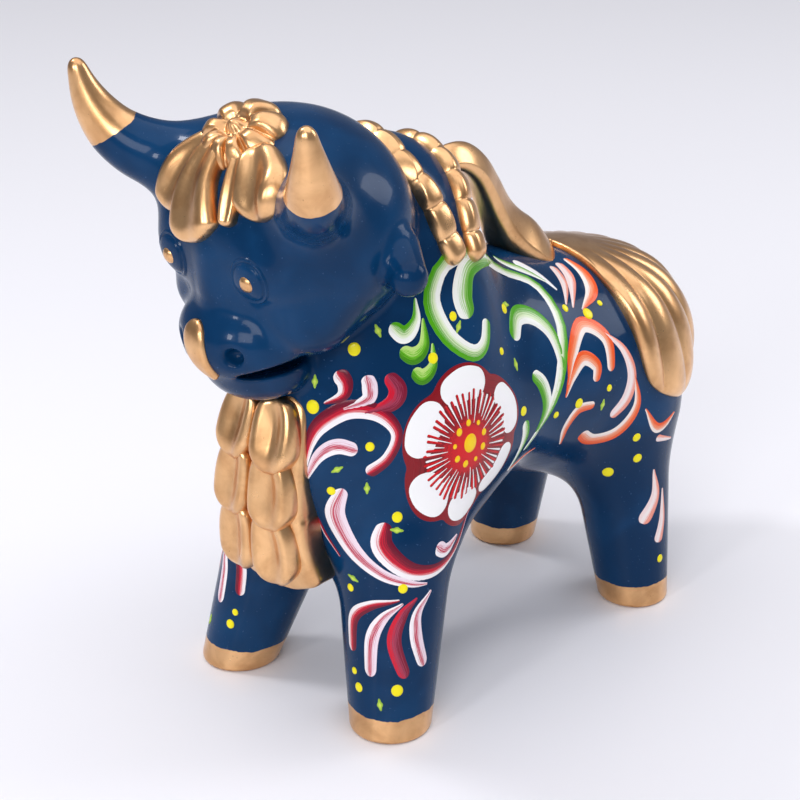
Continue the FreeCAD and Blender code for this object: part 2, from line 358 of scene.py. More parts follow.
@dataclass(frozen=True)
class Enamel:
    """Brushed enamel: two or three colours loaded on one brush, which streak along the stroke."""

    name: str
    near: Point
    middle: Point
    far: Point
    streak: float = 0.5

    def material(self) -> bpy.types.Material:
        """Returns the enamel as a material on the stroke's own UV map."""
        graph = Graph(f"enamel_{self.name}")
        brush = graph.brush()
        _, across, _ = graph.split(brush)
        bristles = graph.noise(graph.scaled(brush, (1.3, 16.0, 1.0)), 1.0, 4.0, 0.7, 0.3)
        hairs = graph.noise(graph.scaled(brush, (2.5, 46.0, 1.0)), 1.0, 2.0, 0.6)
        lean = across + (bristles - 0.5) * (1.9 * self.streak) + (hairs - 0.5) * (0.9 * self.streak)
        colour = graph.mix(graph.mix(self.near, self.middle, lean.step(0.22, 0.46)), self.far, lean.step(0.5, 0.72))
        height = hairs * 0.4 + bristles
        return graph.finish(
            graph.surface(
                Base_Color=colour,
                Roughness=0.2 + 0.12 * bristles,
                Specular_IOR_Level=0.15,
                Coat_Weight=0.2,
                Coat_Roughness=0.05,
                Normal=graph.bump(height, 0.00005, 0.5),
            )
        )


@dataclass(frozen=True)
class StudioFloor:
    """A plain pale tabletop with a faint gloss and hardly any mottling."""

    pale: Point = (0.86, 0.855, 0.885)

    def material(self) -> bpy.types.Material:
        """Returns the tabletop's material."""
        graph = Graph("studio_floor")
        place = graph.place()
        cloud = graph.noise(place, 3.0, 2.0)
        colour = graph.mix(self.pale, tuple(0.985 * c for c in self.pale), cloud)
        return graph.finish(graph.surface(Base_Color=colour, Roughness=0.32 + 0.05 * cloud, Specular_IOR_Level=0.35))


# ---------------------------------------------------------------- meshes


def grid_faces(rows: int, cols: int) -> tuple[Array, Array]:
    """Joins a grid of rings that closes around and ends in a pole at each end.

    Vertex 0 is the first pole, the rings follow row by row, and the last vertex is the second pole.

    Args:
        rows: number of rings between the poles.
        cols: number of points on a ring.

    Returns:
        The quads between the rings and the triangles at the poles.
    """
    ring = 1 + np.arange(rows)[:, None] * cols + np.arange(cols)[None, :]
    after = np.roll(ring, -1, axis=1)
    quads = np.stack((ring[:-1], ring[1:], after[1:], after[:-1]), -1).reshape(-1, 4)
    last = 1 + rows * cols
    first_fan = np.stack((np.zeros(cols, int), ring[0], after[0]), -1)
    last_fan = np.stack((np.full(cols, last), after[-1], ring[-1]), -1)
    return quads, np.concatenate((first_fan, last_fan))


class Clay:
    """Collects closed surfaces and turns them into one piece of the bull."""

    def __init__(self, name: str) -> None:
        """Starts an empty piece of that name."""
        self.name = name
        self.points: list[Array] = []
        self.uvs: list[Array] = []
        self.quads: list[Array] = []
        self.tris: list[Array] = []
        self.count = 0

    def add(self, grid: Array, uv: Array | None = None) -> None:
        """Adds a closed surface given as rings, whose first and last rings shrink to the poles.

        The faces are turned round if the volume they enclose, the sum of p0 . (p1 x p2) / 6, comes out negative.

        Args:
            grid: points, one row per ring.
            uv: their place along and across the stroke.
        """
        rows, cols = grid.shape[0] - 2, grid.shape[1]
        points = np.concatenate((grid[0].mean(0)[None], grid[1:-1].reshape(-1, 3), grid[-1].mean(0)[None]))
        quads, tris = grid_faces(rows, cols)
        fans = np.concatenate((quads[:, (0, 1, 2)], quads[:, (0, 2, 3)], tris))
        a, b, c = (points[fans[:, i]] - points[0] for i in range(3))
        if np.einsum("ij,ij->i", a, np.cross(b, c)).sum() < 0:
            quads, tris = quads[:, ::-1], tris[:, ::-1]
        if uv is None:
            uv = np.zeros((*grid.shape[:2], 2))
        flat = np.concatenate((uv[0].mean(0)[None], uv[1:-1].reshape(-1, 2), uv[-1].mean(0)[None]))
        self.points.append(points)
        self.uvs.append(flat)
        self.quads.append(quads + self.count)
        self.tris.append(tris + self.count)
        self.count += len(points)

    def build(self, material: bpy.types.Material, slot: str, stands_for: tuple[str, ...] = ()) -> bpy.types.Object:
        """Writes the piece.

        Args:
            material: its finish.
            slot: not used.
            stands_for: frame nodes that it replaces.

        Returns:
            The new object.
        """
        points = np.concatenate(self.points)
        made = write_mesh(self.name, points, np.concatenate(self.quads), np.concatenate(self.tris))
        layer = made.data.uv_layers.new(name="stroke")
        corner = np.zeros(len(made.data.loops), np.int32)
        made.data.loops.foreach_get("vertex_index", corner)
        layer.data.foreach_set("uv", np.concatenate(self.uvs)[corner].astype(np.float32).ravel())
        return enrol(made, material, stands_for)


def write_mesh(name: str, points: Array, quads: Array, tris: Array) -> bpy.types.Object:
    """Makes a smooth mesh object.

    Args:
        name: name of the object.
        points: vertices in millimetres.
        quads: faces of four corners.
        tris: faces of three corners.

    Returns:
        The object, in metres.
    """
    mesh = bpy.data.meshes.new(name)
    mesh.vertices.add(len(points))
    mesh.vertices.foreach_set("co", (points * MM).astype(np.float32).ravel())
    corners = np.concatenate((quads.ravel(), tris.ravel())).astype(np.int32)
    starts = np.concatenate((np.arange(len(quads)) * 4, len(quads) * 4 + np.arange(len(tris)) * 3)).astype(np.int32)
    mesh.loops.add(len(corners))
    mesh.loops.foreach_set("vertex_index", corners)
    mesh.polygons.add(len(starts))
    mesh.polygons.foreach_set("loop_start", starts)
    mesh.polygons.foreach_set("use_smooth", np.ones(len(starts), bool))
    mesh.update(calc_edges=True)
    mesh.validate()
    made = bpy.data.objects.new(name, mesh)
    bpy.context.scene.collection.objects.link(made)
    return made


def enrol(
    made: bpy.types.Object, material: bpy.types.Material, stands_for: tuple[str, ...]
) -> bpy.types.Object:
    """Dresses a piece and ties it to the frame.

    Args:
        made: the piece.
        material: its finish.
        stands_for: frame nodes that it replaces.

    Returns:
        The piece.
    """
    made.data.materials.append(material)
    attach(made, "root")
    if stands_for:
        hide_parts(*stands_for)
    LOG.info("%s: %d faces, %s", made.name, len(made.data.polygons), material.name)
    return made


def curve_through(points: Array, t: Array) -> Array:
    """Follows a smooth curve through points.

    The curve is Catmull-Rom: between two points it is the cubic that passes both, with the slope at each point
    parallel to the line between its neighbours.

    Args:
        points: the points or stations, one per row.
        t: places along the curve, from 0 to 1.

    Returns:
        One row per place.
    """
    points = np.asarray(points, float)
    padded = np.concatenate((2 * points[:1] - points[1:2], points, 2 * points[-1:] - points[-2:-1]))
    reach = np.clip(t, 0, 1) * (len(points) - 1)
    i = np.minimum(reach.astype(int), len(points) - 2)
    f = (reach - i)[:, None]
    p0, p1, p2, p3 = (padded[i + k] for k in range(4))
    return 0.5 * (2 * p1 + (p2 - p0) * f + (2 * p0 - 5 * p1 + 4 * p2 - p3) * f**2 + (3 * p1 - p0 - 3 * p2 + p3) * f**3)


def unit(vectors: Array) -> Array:
    """Returns the vectors at length 1."""
    return vectors / np.maximum(np.linalg.norm(vectors, axis=-1, keepdims=True), 1e-12)


# ---------------------------------------------------------------- the glazed skin


@dataclass(frozen=True)
class Lump:
    """A rounded clay mass."""

    centre: Array
    half: Point

    def distance(self, p: Array) -> Array:
        """Returns how far points are outside the ellipsoid: k (k - 1) / g, k the scaled radius and g its slope."""
        square = (p - self.centre) ** 2
        half = np.array(self.half)
        scaled = np.sqrt(square @ (1 / half**2))
        return scaled * (scaled - 1) / np.maximum(np.sqrt(square @ (1 / half**4)), 1e-9)


@dataclass(frozen=True)
class Limb:
    """A rounded rod that tapers from its top to its foot."""

    top: Array
    foot: Array
    top_radius: float
    foot_radius: float

    def distance(self, p: Array) -> Array:
        """Returns how far points are from the rod's axis, less the radius at the nearest place of the axis."""
        axis = self.foot - self.top
        t = np.clip((p - self.top) @ axis / (axis @ axis), 0, 1)
        near = self.top + t[:, None] * axis
        return np.linalg.norm(p - near, axis=-1) - (self.top_radius + (self.foot_radius - self.top_radius) * t)


@dataclass(frozen=True)
class Tusk:
    """A curved rod of changing radius, round at both ends."""

    stations: Array
    spread: float = 2.6

    def distance(self, p: Array) -> Array:
        """Measures how far points are outside.

        A point's place and radius along the rod are the mean of all stations, each weighted by
        exp(-(d^2 - n^2) / spread^2), where d is how far it is and n how far the nearest one is.

        Args:
            p: points, one per row.

        Returns:
            Their distances.
        """
        posts = self.stations[:, :3]
        square = (p**2).sum(1)[:, None] - 2 * p @ posts.T + (posts**2).sum(1)
        weight = np.exp((square.min(1, keepdims=True) - square) / self.spread**2)
        at = weight @ self.stations / weight.sum(1, keepdims=True)
        return np.linalg.norm(p - at[:, :3], axis=1) - at[:, 3]


def melt(a: Array, b: Array, k: float) -> Array:
    """Joins two masses with a fillet: the smaller distance, lowered by k h (1 - h) where the two are about equal.

    Args:
        a: distances to the first mass.
        b: distances to the second.
        k: width of the fillet.

    Returns:
        Distances to both together.
    """
    h = np.clip(0.5 + 0.5 * (b - a) / k, 0, 1)
    return b * (1 - h) + a * h - k * h * (1 - h)


def carve(a: Array, b: Array, k: float) -> Array:
    """Cuts mass b out of a, with its rim rounded over k, and returns the distances."""
    return -melt(-a, b, k)


class Skin:
    """The outer surface of the glazed casting, as a field that is negative inside the clay."""

    def __init__(self) -> None:
        """Places the masses on the frame's nodes."""
        breast = datum("body_half_left", 1, -1, -1)
        tail = datum("body_half_left", -1, -1, -1)
        crest = datum("neck", 0, 0, 1)
        brow = datum("head", 1, 0, 1)
        self.chest = Lump(breast + (-38, 0, 43), (38, 34, 43))
        self.barrel = Lump(breast + (-72, 0, 42), (50, 31, 24.5))
        self.rump = Lump(tail + (40, 0, 35), (40, 32, 31))
        self.neck = Lump(crest + (0.5, 0, -37.5), (28, 23.8, 37.5))
        self.cranium = Lump(brow + (-30, 0, -27), (27, 30, 27))
        self.bridge = Lump(brow + (-20.5, 0, -40), (15.5, 15, 15))
        self.muzzle = Lump(brow + (-14, 0, -49.8), (13.8, 16.3, 11.8))
        self.chin = Lump(brow + (-18.5, 0, -59.0), (12.5, 13, 8))
        self.ridge = Limb(brow + (-8.9, 0, -29), brow + (-8.4, 0, -40), 6.0, 5.0)
        self.socket = Lump(brow + (-15.6, 13.6, -29.0), (11.2, 11.2, 11.5))
        self.jowl = Lump(brow + (-22, 14.5, -42), (13, 10.5, 11))
        self.withers = Lump(tail + (78, 0, 56), (26, 23, 18.5))
        self.mouth = Lump(brow + (-14.5, 12, -57.4), (10.5, 9, 1.5))
        self.nostril = Lump(brow + (-3.6, 8.6, -50.8), (2.6, 1.9, 1.8))
        ear = datum("ear_left", 0, 0, 0)
        self.ear = Limb(ear + (-2.4, -6.5, 1.8), ear + (0.4, 0.6, -1.4), 6.2, 4.5)
        self.vent = Limb(breast + (-73, 8, 8), breast + (-73, 8, 24), 3, 3)
        horn = datum("horn_left", 1, 1, 1)
        stations = np.array((
            (-28.6, -34.3, -24.4, 8.8),
            (-21.0, -24.0, -23.8, 8.6),
            (-13.2, -14.4, -22.0, 7.8),
            (-8.0, -8.4, -17.8, 6.5),
            (-4.8, -5.4, -12.4, 5.1),
            (-2.8, -3.8, -7.0, 3.6),
            (-1.4, -3.0, -1.2, 2.0),
        ))
        self.horn = Tusk(curve_through(stations, np.linspace(0, 1, 26)) + (*horn, 0))
        self.horn_middle = self.horn.stations[:, :3].mean(0)
        self.legs = {
            "leg_front_left": self.leg("leg_front_left", 1, 1, (-19.7, -18.3, 46), (-12.7, -12.8, 0), 10.3),
            "leg_front_right": self.leg("leg_front_right", 1, -1, (-23.7, 20.5, 46), (-11.7, 12.0, 0), 9.7),
            "leg_rear_left": self.leg("leg_rear_left", -1, 1, (14.0, -20.1, 52), (13.0, -12.1, 0), 9.6),
            "leg_rear_right": self.leg("leg_rear_right", -1, -1, (14.8, 18.7, 52), (12.8, 12.2, 0), 9.4),
        }

    @staticmethod
    def leg(node: str, x: float, y: float, hip: Point, foot: Point, radius: float) -> Limb:
        """Places a leg.

        Args:
            node: its frame node.
            x: which end of the node's box the offsets are from, 1 or -1.
            y: which side of it.
            hip: offset of the leg's top, from the ground up.
            foot: offset of its foot.
            radius: radius at the foot.

        Returns:
            The leg.
        """
        corner = datum(node, x, y, -1)
        return Limb(corner * (1, 1, 0) + hip, corner + foot, 14.5, radius)

    def parts(self, p: Array) -> dict[str, Array]:
        """Measures how far points are from each named part of the casting.

        Args:
            p: points, one per row.

        Returns:
            Distances by node name, with horns, ears and the body taken left and right together.
        """
        q = p * (1, 0, 1) + np.abs(p) * (0, 1, 0)
        body = melt(self.chest.distance(q), self.barrel.distance(q), 10)
        body = melt(body, self.rump.distance(q), 14)
        body = melt(body, self.withers.distance(q), 9)
        head = melt(self.cranium.distance(q), self.bridge.distance(q), 5)
        head = melt(head, self.socket.distance(q), 3)
        head = melt(head, self.jowl.distance(q), 3)
        head = melt(head, self.ridge.distance(q), 1.6)
        head = melt(head, self.muzzle.distance(q), 2.4)
        head = melt(head, self.chin.distance(q), 3)
        smile = q - np.stack((0 * q[:, 1], 0 * q[:, 1], 0.012 * q[:, 1] ** 2), -1)
        head = carve(head, self.mouth.distance(smile), 1.2)
        head = carve(head, self.nostril.distance(q), 2.2)
        horn = np.linalg.norm(q - self.horn_middle, axis=1) - 20
        near = horn < 20
        horn[near] = self.horn.distance(q[near])
        found = {"body": body, "neck": self.neck.distance(q), "head": head, "horn": horn, "ear": self.ear.distance(q)}
        found.update({name: leg.distance(p) for name, leg in self.legs.items()})
        return found

    def distance(self, p: Array) -> Array:
        """Measures how far points are outside the whole skin: the parts melted together and cut flat at the floor.

        Args:
            p: points, one per row.

        Returns:
            Their distances.
        """
        part = self.parts(p)
        whole = melt(part["body"], part["neck"], 14)
        for name in self.legs:
            whole = melt(whole, part[name], 12 if "front" in name else 14)
        whole = melt(whole, part["head"], 2.2)
        whole = melt(whole, part["horn"], 9)
        whole = melt(whole, part["ear"], 2.4)
        whole = carve(whole, self.vent.distance(p), 0.8)
        return carve(whole, p[:, 2], 1.2)

    def normal(self, p: Array) -> Array:
        """Returns the outward directions: central differences of the field over 0.1 mm."""
        steps = np.eye(3) * 0.05
        return unit(np.stack([self.distance(p + s) - self.distance(p - s) for s in steps], -1))

    def settle(self, p: Array, rounds: int = 4) -> tuple[Array, Array]:
        """Moves points onto the skin by Newton steps: each goes back along the normal by its distance.

        Args:
            p: points, one per row.
            rounds: number of steps.

        Returns:
            The points on the skin, and the outward directions there.
        """
        for _ in range(rounds):
            p = p - self.normal(p) * np.clip(self.distance(p), -3, 3)[:, None]
        return p, self.normal(p)


@dataclass(frozen=True)
class SkinNet:
    """A net of quads drawn over the skin: one vertex in each cell that the surface crosses, settled onto it."""

    skin: Skin
    low: Point
    high: Point
    step: float

    def inside(self) -> Array:
        """Marks the grid's nodes that lie in the clay. Blocks of 4 cells far from the skin copy their corner."""
        block = 4 * self.step
        low = np.array(self.low)
        n = np.ceil((np.array(self.high) - low) / block).astype(int)
        axes = [low[i] + block * np.arange(n[i] + 1) for i in range(3)]
        nodes = np.stack(np.meshgrid(*axes, indexing="ij"), -1).reshape(-1, 3)
        coarse = self.skin.distance(nodes).reshape(n + 1)
        close = np.abs(coarse) < 1.35 * block
        near = np.zeros(n, bool)
        for i, j, k in np.ndindex(2, 2, 2):
            near |= close[i : i + n[0], j : j + n[1], k : k + n[2]]
        fine = near
        solid = coarse < 0
        for axis in range(3):
            fine = np.repeat(fine, 4, axis)
            solid = np.repeat(solid, 4, axis)
        solid = solid[: 4 * n[0] + 1, : 4 * n[1] + 1, : 4 * n[2] + 1].copy()
        exact = np.pad(fine, ((0, 1),) * 3)
        for axis in range(3):
            exact |= np.roll(exact, 1, axis)
        where = np.argwhere(exact)
        for chunk in np.array_split(where, max(1, len(where) // 400000)):
            solid[tuple(chunk.T)] = self.skin.distance(low + self.step * chunk) < 0
        return solid

    def draw(self) -> tuple[Array, Array, Array]:
        """Draws the net.

        Returns:
            Its vertices, the outward directions there, and its quads.
        """
        solid = self.inside()
        size = np.array(solid.shape) - 1
        count = np.zeros(size, np.int8)
        for i, j, k in np.ndindex(2, 2, 2):
            count += solid[i : i + size[0], j : j + size[1], k : k + size[2]]
        crossed = (count > 0) & (count < 8)
        index = np.full(size, -1, np.int32)
        index[crossed] = np.arange(crossed.sum())
        cells = np.argwhere(crossed)
        points = np.array(self.low) + self.step * (cells + 0.5)
        quads = []
        for a in range(3):
            b, c = (a + 1) % 3, (a + 2) % 3
            first = np.moveaxis(solid, a, 0)[:-1]
            second = np.moveaxis(solid, a, 0)[1:]
            edges = np.argwhere(np.moveaxis(first != second, 0, a))
            edges = edges[(edges[:, b] > 0) & (edges[:, c] > 0) & (edges[:, b] < size[b]) & (edges[:, c] < size[c])]
            ring = []
            for db, dc in ((-1, -1), (0, -1), (0, 0), (-1, 0)):
                cell = edges.copy()
                cell[:, b] += db
                cell[:, c] += dc
                ring.append(index[tuple(cell.T)])
            quad = np.stack(ring, -1)
            outward = solid[tuple(edges.T)]
            quads.append(np.where(outward[:, None], quad, quad[:, ::-1]))
        quads = np.concatenate(quads)
        seam = np.abs(points[:, 1]) < 0.25 * self.step
        for turn in range(4):
            points, _ = self.skin.settle(points, 2 if turn == 0 else 1)
            points[seam, 1] = 0
            if turn < 3:
                total = np.zeros_like(points)
                ring = points[quads]
                middle = ring.mean(1)
                share = np.bincount(quads.ravel(), minlength=len(points))
                for axis in range(3):
                    spread = np.repeat(middle[:, axis], 4)
                    total[:, axis] = np.bincount(quads.ravel(), spread, len(points))
                points = 0.25 * points + 0.75 * total / np.maximum(share, 1)[:, None]
        points, normals = self.skin.settle(points, 2)
        points[seam, 1] = 0
        return points, normals, quads


@dataclass
class Casting:
    """The hollow glazed casting: its skin cut into the frame's pieces, each a wall of its own."""

    skin: Skin
    body_step: float = 0.75
    head_step: float = 0.56
    wall: float = 3.0
    overlap: float = 1.2

    def build(self, glaze: NavyGlaze, gold: GoldLustre) -> bpy.types.Material:
        """Builds the pieces and glazes them.

        Args:
            glaze: the glaze.
            gold: the gilding of the hooves and the horn tips.

        Returns:
            The ungilded glaze as a material.
        """
        plain = glaze.material("navy_glaze", Gilding.NONE, gold)
        hoof = glaze.material("navy_glaze_gilt_hoof", Gilding.HOOF, gold)
        tip = glaze.material("navy_glaze_gilt_tip", Gilding.HORN, gold)
        self.trunk(plain, hoof)
        self.top(plain, tip)
        return plain

    def trunk(self, plain: bpy.types.Material, hoof: bpy.types.Material) -> None:
        """Builds the body, the neck and the legs, which tuck a little way under the head.

        Args:
            plain: material of the body and the neck.
            hoof: material of the legs.
        """
        step = self.body_step
        low, high = cad_corners()
        half = step * (math.ceil(-low[1] / step) + 0.5)
        net = SkinNet(self.skin, (low[0] - 2, -half, -2 * step), (high[0] - 12, half, high[2] - 12), step)
        points, normals, quads = net.draw()
        part = self.skin.parts(points)
        lead = np.minimum(part["body"], part["neck"]) - part["head"]
        points = points - normals * (0.3 * np.clip(lead / 0.6, 0, 1))[:, None]
        part = self.skin.parts(points[quads].mean(1))
        for name in ("head", "horn", "ear"):
            part[name] = part[name] + self.overlap
        names = list(part)
        owner = np.argmin(np.stack([part[n] for n in names]), 0)
        left = points[quads].mean(1)[:, 1] > 0
        for name in ("neck", *self.skin.legs):
            finish = hoof if name in self.skin.legs else plain
            self.shell(name, points, normals, quads[owner == names.index(name)], finish)
        body = owner == names.index("body")
        self.shell("body_half_left", points, normals, quads[body & left], plain)
        self.shell("body_half_right", points, normals, quads[body & ~left], plain)

    def top(self, plain: bpy.types.Material, tip: bpy.types.Material) -> None:
        """Builds the head, the horns and the ears on a finer net.

        Args:
            plain: material of the head and the ears.
            tip: material of the horns.
        """
        step = self.head_step
        low, high = (np.array(c) for c in node_box("head"))
        _, far = cad_corners()
        half = step * (math.ceil(far[1] / step) + 3.5)
        net = SkinNet(self.skin, (low[0] - 5, -half, low[2] - 5), (far[0] + 3, half, far[2] + 3), step)
        points, normals, quads = net.draw()
        middle = points[quads].mean(1)
        part = self.skin.parts(middle)
        names = list(part)
        owner = np.argmin(np.stack([part[n] for n in names]), 0)
        left = middle[:, 1] > 0
        self.shell("head", points, normals, quads[owner == names.index("head")], plain)
        for side, mask in (("left", left), ("right", ~left)):
            self.shell(f"horn_{side}", points, normals, quads[(owner == names.index("horn")) & mask], tip)
            self.shell(f"ear_{side}", points, normals, quads[(owner == names.index("ear")) & mask], plain)

    def shell(self, node: str, points: Array, normals: Array, quads: Array, material: bpy.types.Material) -> None:
        """Gives a part of the net a wall and writes it.

        The inner face lies behind the outer by three quarters of the depth of clay there, at most the wall's
        thickness, and a strip of quads joins the two along every open edge.

        Args:
            node: the frame node that the piece stands for.
            points: vertices of the whole net.
            normals: outward directions there.
            quads: the part's quads.
            material: its finish.
        """
        used, flat = np.unique(quads.ravel(), return_inverse=True)
        quads = flat.reshape(-1, 4)
        outer, outward = points[used], normals[used]
        depth = -self.skin.distance(outer - 4 * outward)
        inner = outer - outward * np.clip(0.75 * depth, 0.3, self.wall)[:, None]
        count = len(used)
        edges = np.stack((quads, np.roll(quads, -1, 1)), -1).reshape(-1, 2)
        key = edges[:, 0] * count + edges[:, 1]
        back = edges[:, 1] * count + edges[:, 0]
        rim = edges[~np.isin(key, back)]
        strip = np.stack((rim[:, 1], rim[:, 0], rim[:, 0] + count, rim[:, 1] + count), -1)
        faces = np.concatenate((quads, quads[:, ::-1] + count, strip))
        made = write_mesh(f"glazed_{node}", np.concatenate((outer, inner)), faces, np.zeros((0, 3), int))
        made.data.normals_split_custom_set_from_vertices(np.concatenate((outward, -outward)).tolist())
        enrol(made, material, (node,))


def cad_corners() -> tuple[Array, Array]:
    """Returns the lowest and highest corners of the whole frame in millimetres."""
    low = np.min([node_box(name)[0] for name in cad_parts], 0)
    high = np.max([node_box(name)[1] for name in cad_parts], 0)
    return low, high


# ---------------------------------------------------------------- things laid on a surface


@dataclass(frozen=True)
class Bed:
    """A single rounded mass that pieces are pressed onto."""

    lump: Lump

    def normal(self, p: Array) -> Array:
        """Returns the outward directions, the slope of the ellipsoid's equation."""
        return unit((p - self.lump.centre) / np.array(self.lump.half) ** 2)

    def settle(self, p: Array, rounds: int = 4) -> tuple[Array, Array]:
        """Moves points onto the mass by Newton steps and returns them with the outward directions."""
        for _ in range(rounds):
            p = p - self.normal(p) * np.clip(self.lump.distance(p), -3, 3)[:, None]
        return p, self.normal(p)


@dataclass(frozen=True)
class Strip:
    """A strip of clay or a brush stroke laid on a surface along a smooth line, with rounded or pointed ends."""

    points: tuple[Point, ...]
    half: tuple[float, ...]
    rise: float
    dish: float = 0.0
    dish_at: float = 0.0
    beads: int = 0
    swell: float = 0.0
    sink: float = 0.0

    def widths(self, t: Array, length: float) -> tuple[Array, Array]:
        """Works out the half width and the height factor along the strip.

        The half width follows the given stations and closes at each end as a circle of that end's own half width:
        sqrt(1 - (1 - s)^2), s the way along from the end over that half width. Beads pinch both with |sin|^0.32.

        Args:
            t: places along the strip, from 0 to 1.
            length: its length.

        Returns:
            Half widths and height factors.
        """
        half = np.maximum(curve_through(np.array(self.half)[:, None], t)[:, 0], 0.05)
        head = np.clip(t * length / max(self.half[0], 0.2), 0, 1)
        tail = np.clip((1 - t) * length / max(self.half[-1], 0.2), 0, 1)
        cap = np.sqrt(1 - (1 - head) ** 2) * np.sqrt(1 - (1 - tail) ** 2)
        height = cap * (1 + self.swell * (t - 0.5))
        if self.beads:
            pinch = np.abs(np.sin(math.pi * self.beads * t)) ** 0.32
            half = half * (0.86 + 0.14 * pinch)
            height = height * (0.62 + 0.38 * pinch)
        return half * cap, height


def lay_strips(
    bed: object, strips: list[Strip], rows: int, cols: int, mirrored: bool = False
) -> list[tuple[Array, Array]]:
    """Lays strips on a surface.

    The line through a strip's points is settled on the surface. Its half width times v, from -1 to 1, is laid off
    sideways, at right angles to the line and the outward direction, and settled again. The top stands off by
    rise sqrt(1 - v^4), less a dish exp(-((v - c) / 0.5)^2), and the underside lies below the surface.

    Args:
        bed: what they lie on.
        strips: the strips.
        rows: points along each.
        cols: points across each.
        mirrored: whether they go to the bull's other side.

    Returns:
        A closed grid and its UV for each strip.
    """
    side_sign = -1.0 if mirrored else 1.0
    flip = np.array((1.0, side_sign, 1.0))
    t = (1 - np.cos(np.linspace(0, math.pi, rows))) / 2
    if strips[0].beads:
        t = np.linspace(0, 1, rows)
    lines = np.stack([curve_through(np.array(s.points) * flip, t) for s in strips])
    count = len(strips)
    centre, normal = bed.settle(lines.reshape(-1, 3), 5)
    centre, normal = centre.reshape(count, rows, 3), normal.reshape(count, rows, 3)
    ahead = unit(np.gradient(centre, axis=1))
    side = unit(np.cross(normal, ahead)) * side_sign
    lengths = np.linalg.norm(np.diff(centre, axis=1), axis=-1).sum(1)
    shapes = [s.widths(t, length) for s, length in zip(strips, lengths)]
    half = np.stack([w for w, _ in shapes])
    cap = np.stack([h for _, h in shapes])
    v = np.sin(np.linspace(-math.pi / 2, math.pi / 2, cols))
    spread = centre[:, :, None] + side[:, :, None] * (half[:, :, None] * v)[..., None]
    base, outward = bed.settle(spread.reshape(-1, 3), 4)
    base, outward = base.reshape(spread.shape), outward.reshape(spread.shape)
    rise, dish, at, sink = (
        np.array([getattr(s, k) for s in strips])[:, None, None] for k in ("rise", "dish", "dish_at", "sink")
    )
    middle = np.sin(math.pi * t)[None, :, None] ** 0.7
    top = rise * np.sqrt(1 - v**4) - dish * np.exp(-(((v - at) / 0.5) ** 2)) * middle
    under = -np.maximum(0.12 * rise, 0.03)
    lift = top * cap[:, :, None] + under * (1 - np.sqrt(1 - v**4)) - sink
    upper = base + outward * lift[..., None]
    lower = base + outward * (np.broadcast_to(2 * under, lift.shape) - sink)[..., None]
    loops = np.concatenate((upper, lower[:, :, -2:0:-1]), 2)
    across = np.concatenate(((v + 1) / 2, (v[-2:0:-1] + 1) / 2))
    found = []
    for i in range(count):
        uv = np.stack(np.broadcast_arrays(t[:, None], across[None]), -1)
        found.append((loops[i], uv))
    return found


@dataclass(frozen=True)
class Patch:
    """A round patch of clay or enamel laid on a surface, with its outline and its height given from the middle out."""

    centre: Point
    half: tuple[float, float]
    rise: float
    turn: float = 0.0
    outline: tuple[float, ...] = (1.0, 1.0, 1.0, 1.0)
    profile: tuple[tuple[float, float], ...] = ()

    def radius(self, angle: Array) -> Array:
        """Returns the outline's factor at each angle, smooth between its equally spaced stations."""
        stations = np.array(self.outline)
        loop = np.concatenate((stations[-2:], stations, stations[:3]))
        place = (angle / (2 * math.pi)) % 1 * len(stations) + 2
        whole = len(loop) - 1
        return curve_through(loop[:, None], place / whole)[:, 0]

    def height(self, rho: Array) -> Array:
        """Returns the height at each share of the radius: the given profile, or rise sqrt(1 - rho^4)."""
        if self.profile:
            places, heights = zip(*self.profile)
            return np.interp(rho, places, heights)
        return self.rise * np.sqrt(1 - rho**4)


def lay_patches(
    bed: object, patches: list[Patch], rings: int, cols: int, mirrored: bool = False
) -> list[tuple[Array, Array]]:
    """Lays patches on a surface.

    Around a settled middle, the point at share rho of the radius and angle a lies at
    half (cos a, sin a) rho r(a) in the tangent plane, and is settled again before its height is added.

    Args:
        bed: what they lie on.
        patches: the patches.
        rings: rings on the upper side.
        cols: points around.
        mirrored: whether they go to the bull's other side.

    Returns:
        A closed grid and its UV for each patch.
    """
    flip = np.array((1.0, -1.0 if mirrored else 1.0, 1.0))
    centres, normals = bed.settle(np.array([p.centre for p in patches]) * flip, 5)
    up = np.array((0.0, 0.0, 1.0)) + 0.02 * np.array((1.0, 0.0, 0.0))
    first = unit(np.cross(up, normals)) * (-1.0 if mirrored else 1.0)
    second = unit(np.cross(normals, first)) * (-1.0 if mirrored else 1.0)
    rho = np.sin(np.linspace(0, math.pi / 2, rings))
    angle = np.linspace(0, 2 * math.pi, cols, endpoint=False)
    spread, lift, rise = [], [], []
    for p, c, a, b in zip(patches, centres, first, second):
        turn = math.radians(p.turn)
        r = rho[:, None] * p.radius(angle)[None]
        x, y = r * np.cos(angle) * p.half[0], r * np.sin(angle) * p.half[1]
        x, y = x * math.cos(turn) - y * math.sin(turn), x * math.sin(turn) + y * math.cos(turn)
        spread.append(c + x[..., None] * a + y[..., None] * b)
        lift.append(np.broadcast_to(p.height(rho)[:, None], r.shape))
        rise.append(max(p.rise, 0.1))
    spread, lift = np.stack(spread), np.stack(lift)
    base, outward = bed.settle(spread.reshape(-1, 3), 4)
    base, outward = base.reshape(spread.shape), outward.reshape(spread.shape)
    under = -0.3 * np.array(rise)[:, None, None]
    edge = np.linspace(0, 1, rings)[None, :, None] ** 8
    upper = base + outward * (lift + 0.4 * under * edge)[..., None]
    lower = base + outward * np.broadcast_to(under, lift.shape)[..., None]
    grids = np.concatenate((upper, lower[:, ::-1]), 1)
    ring_uv = np.stack(np.broadcast_arrays(angle[None] / (2 * math.pi), rho[:, None]), -1)
    uv = np.concatenate((ring_uv, ring_uv[::-1]), 0)
    return [(grid, uv) for grid in grids]


# ---------------------------------------------------------------- modelled trim


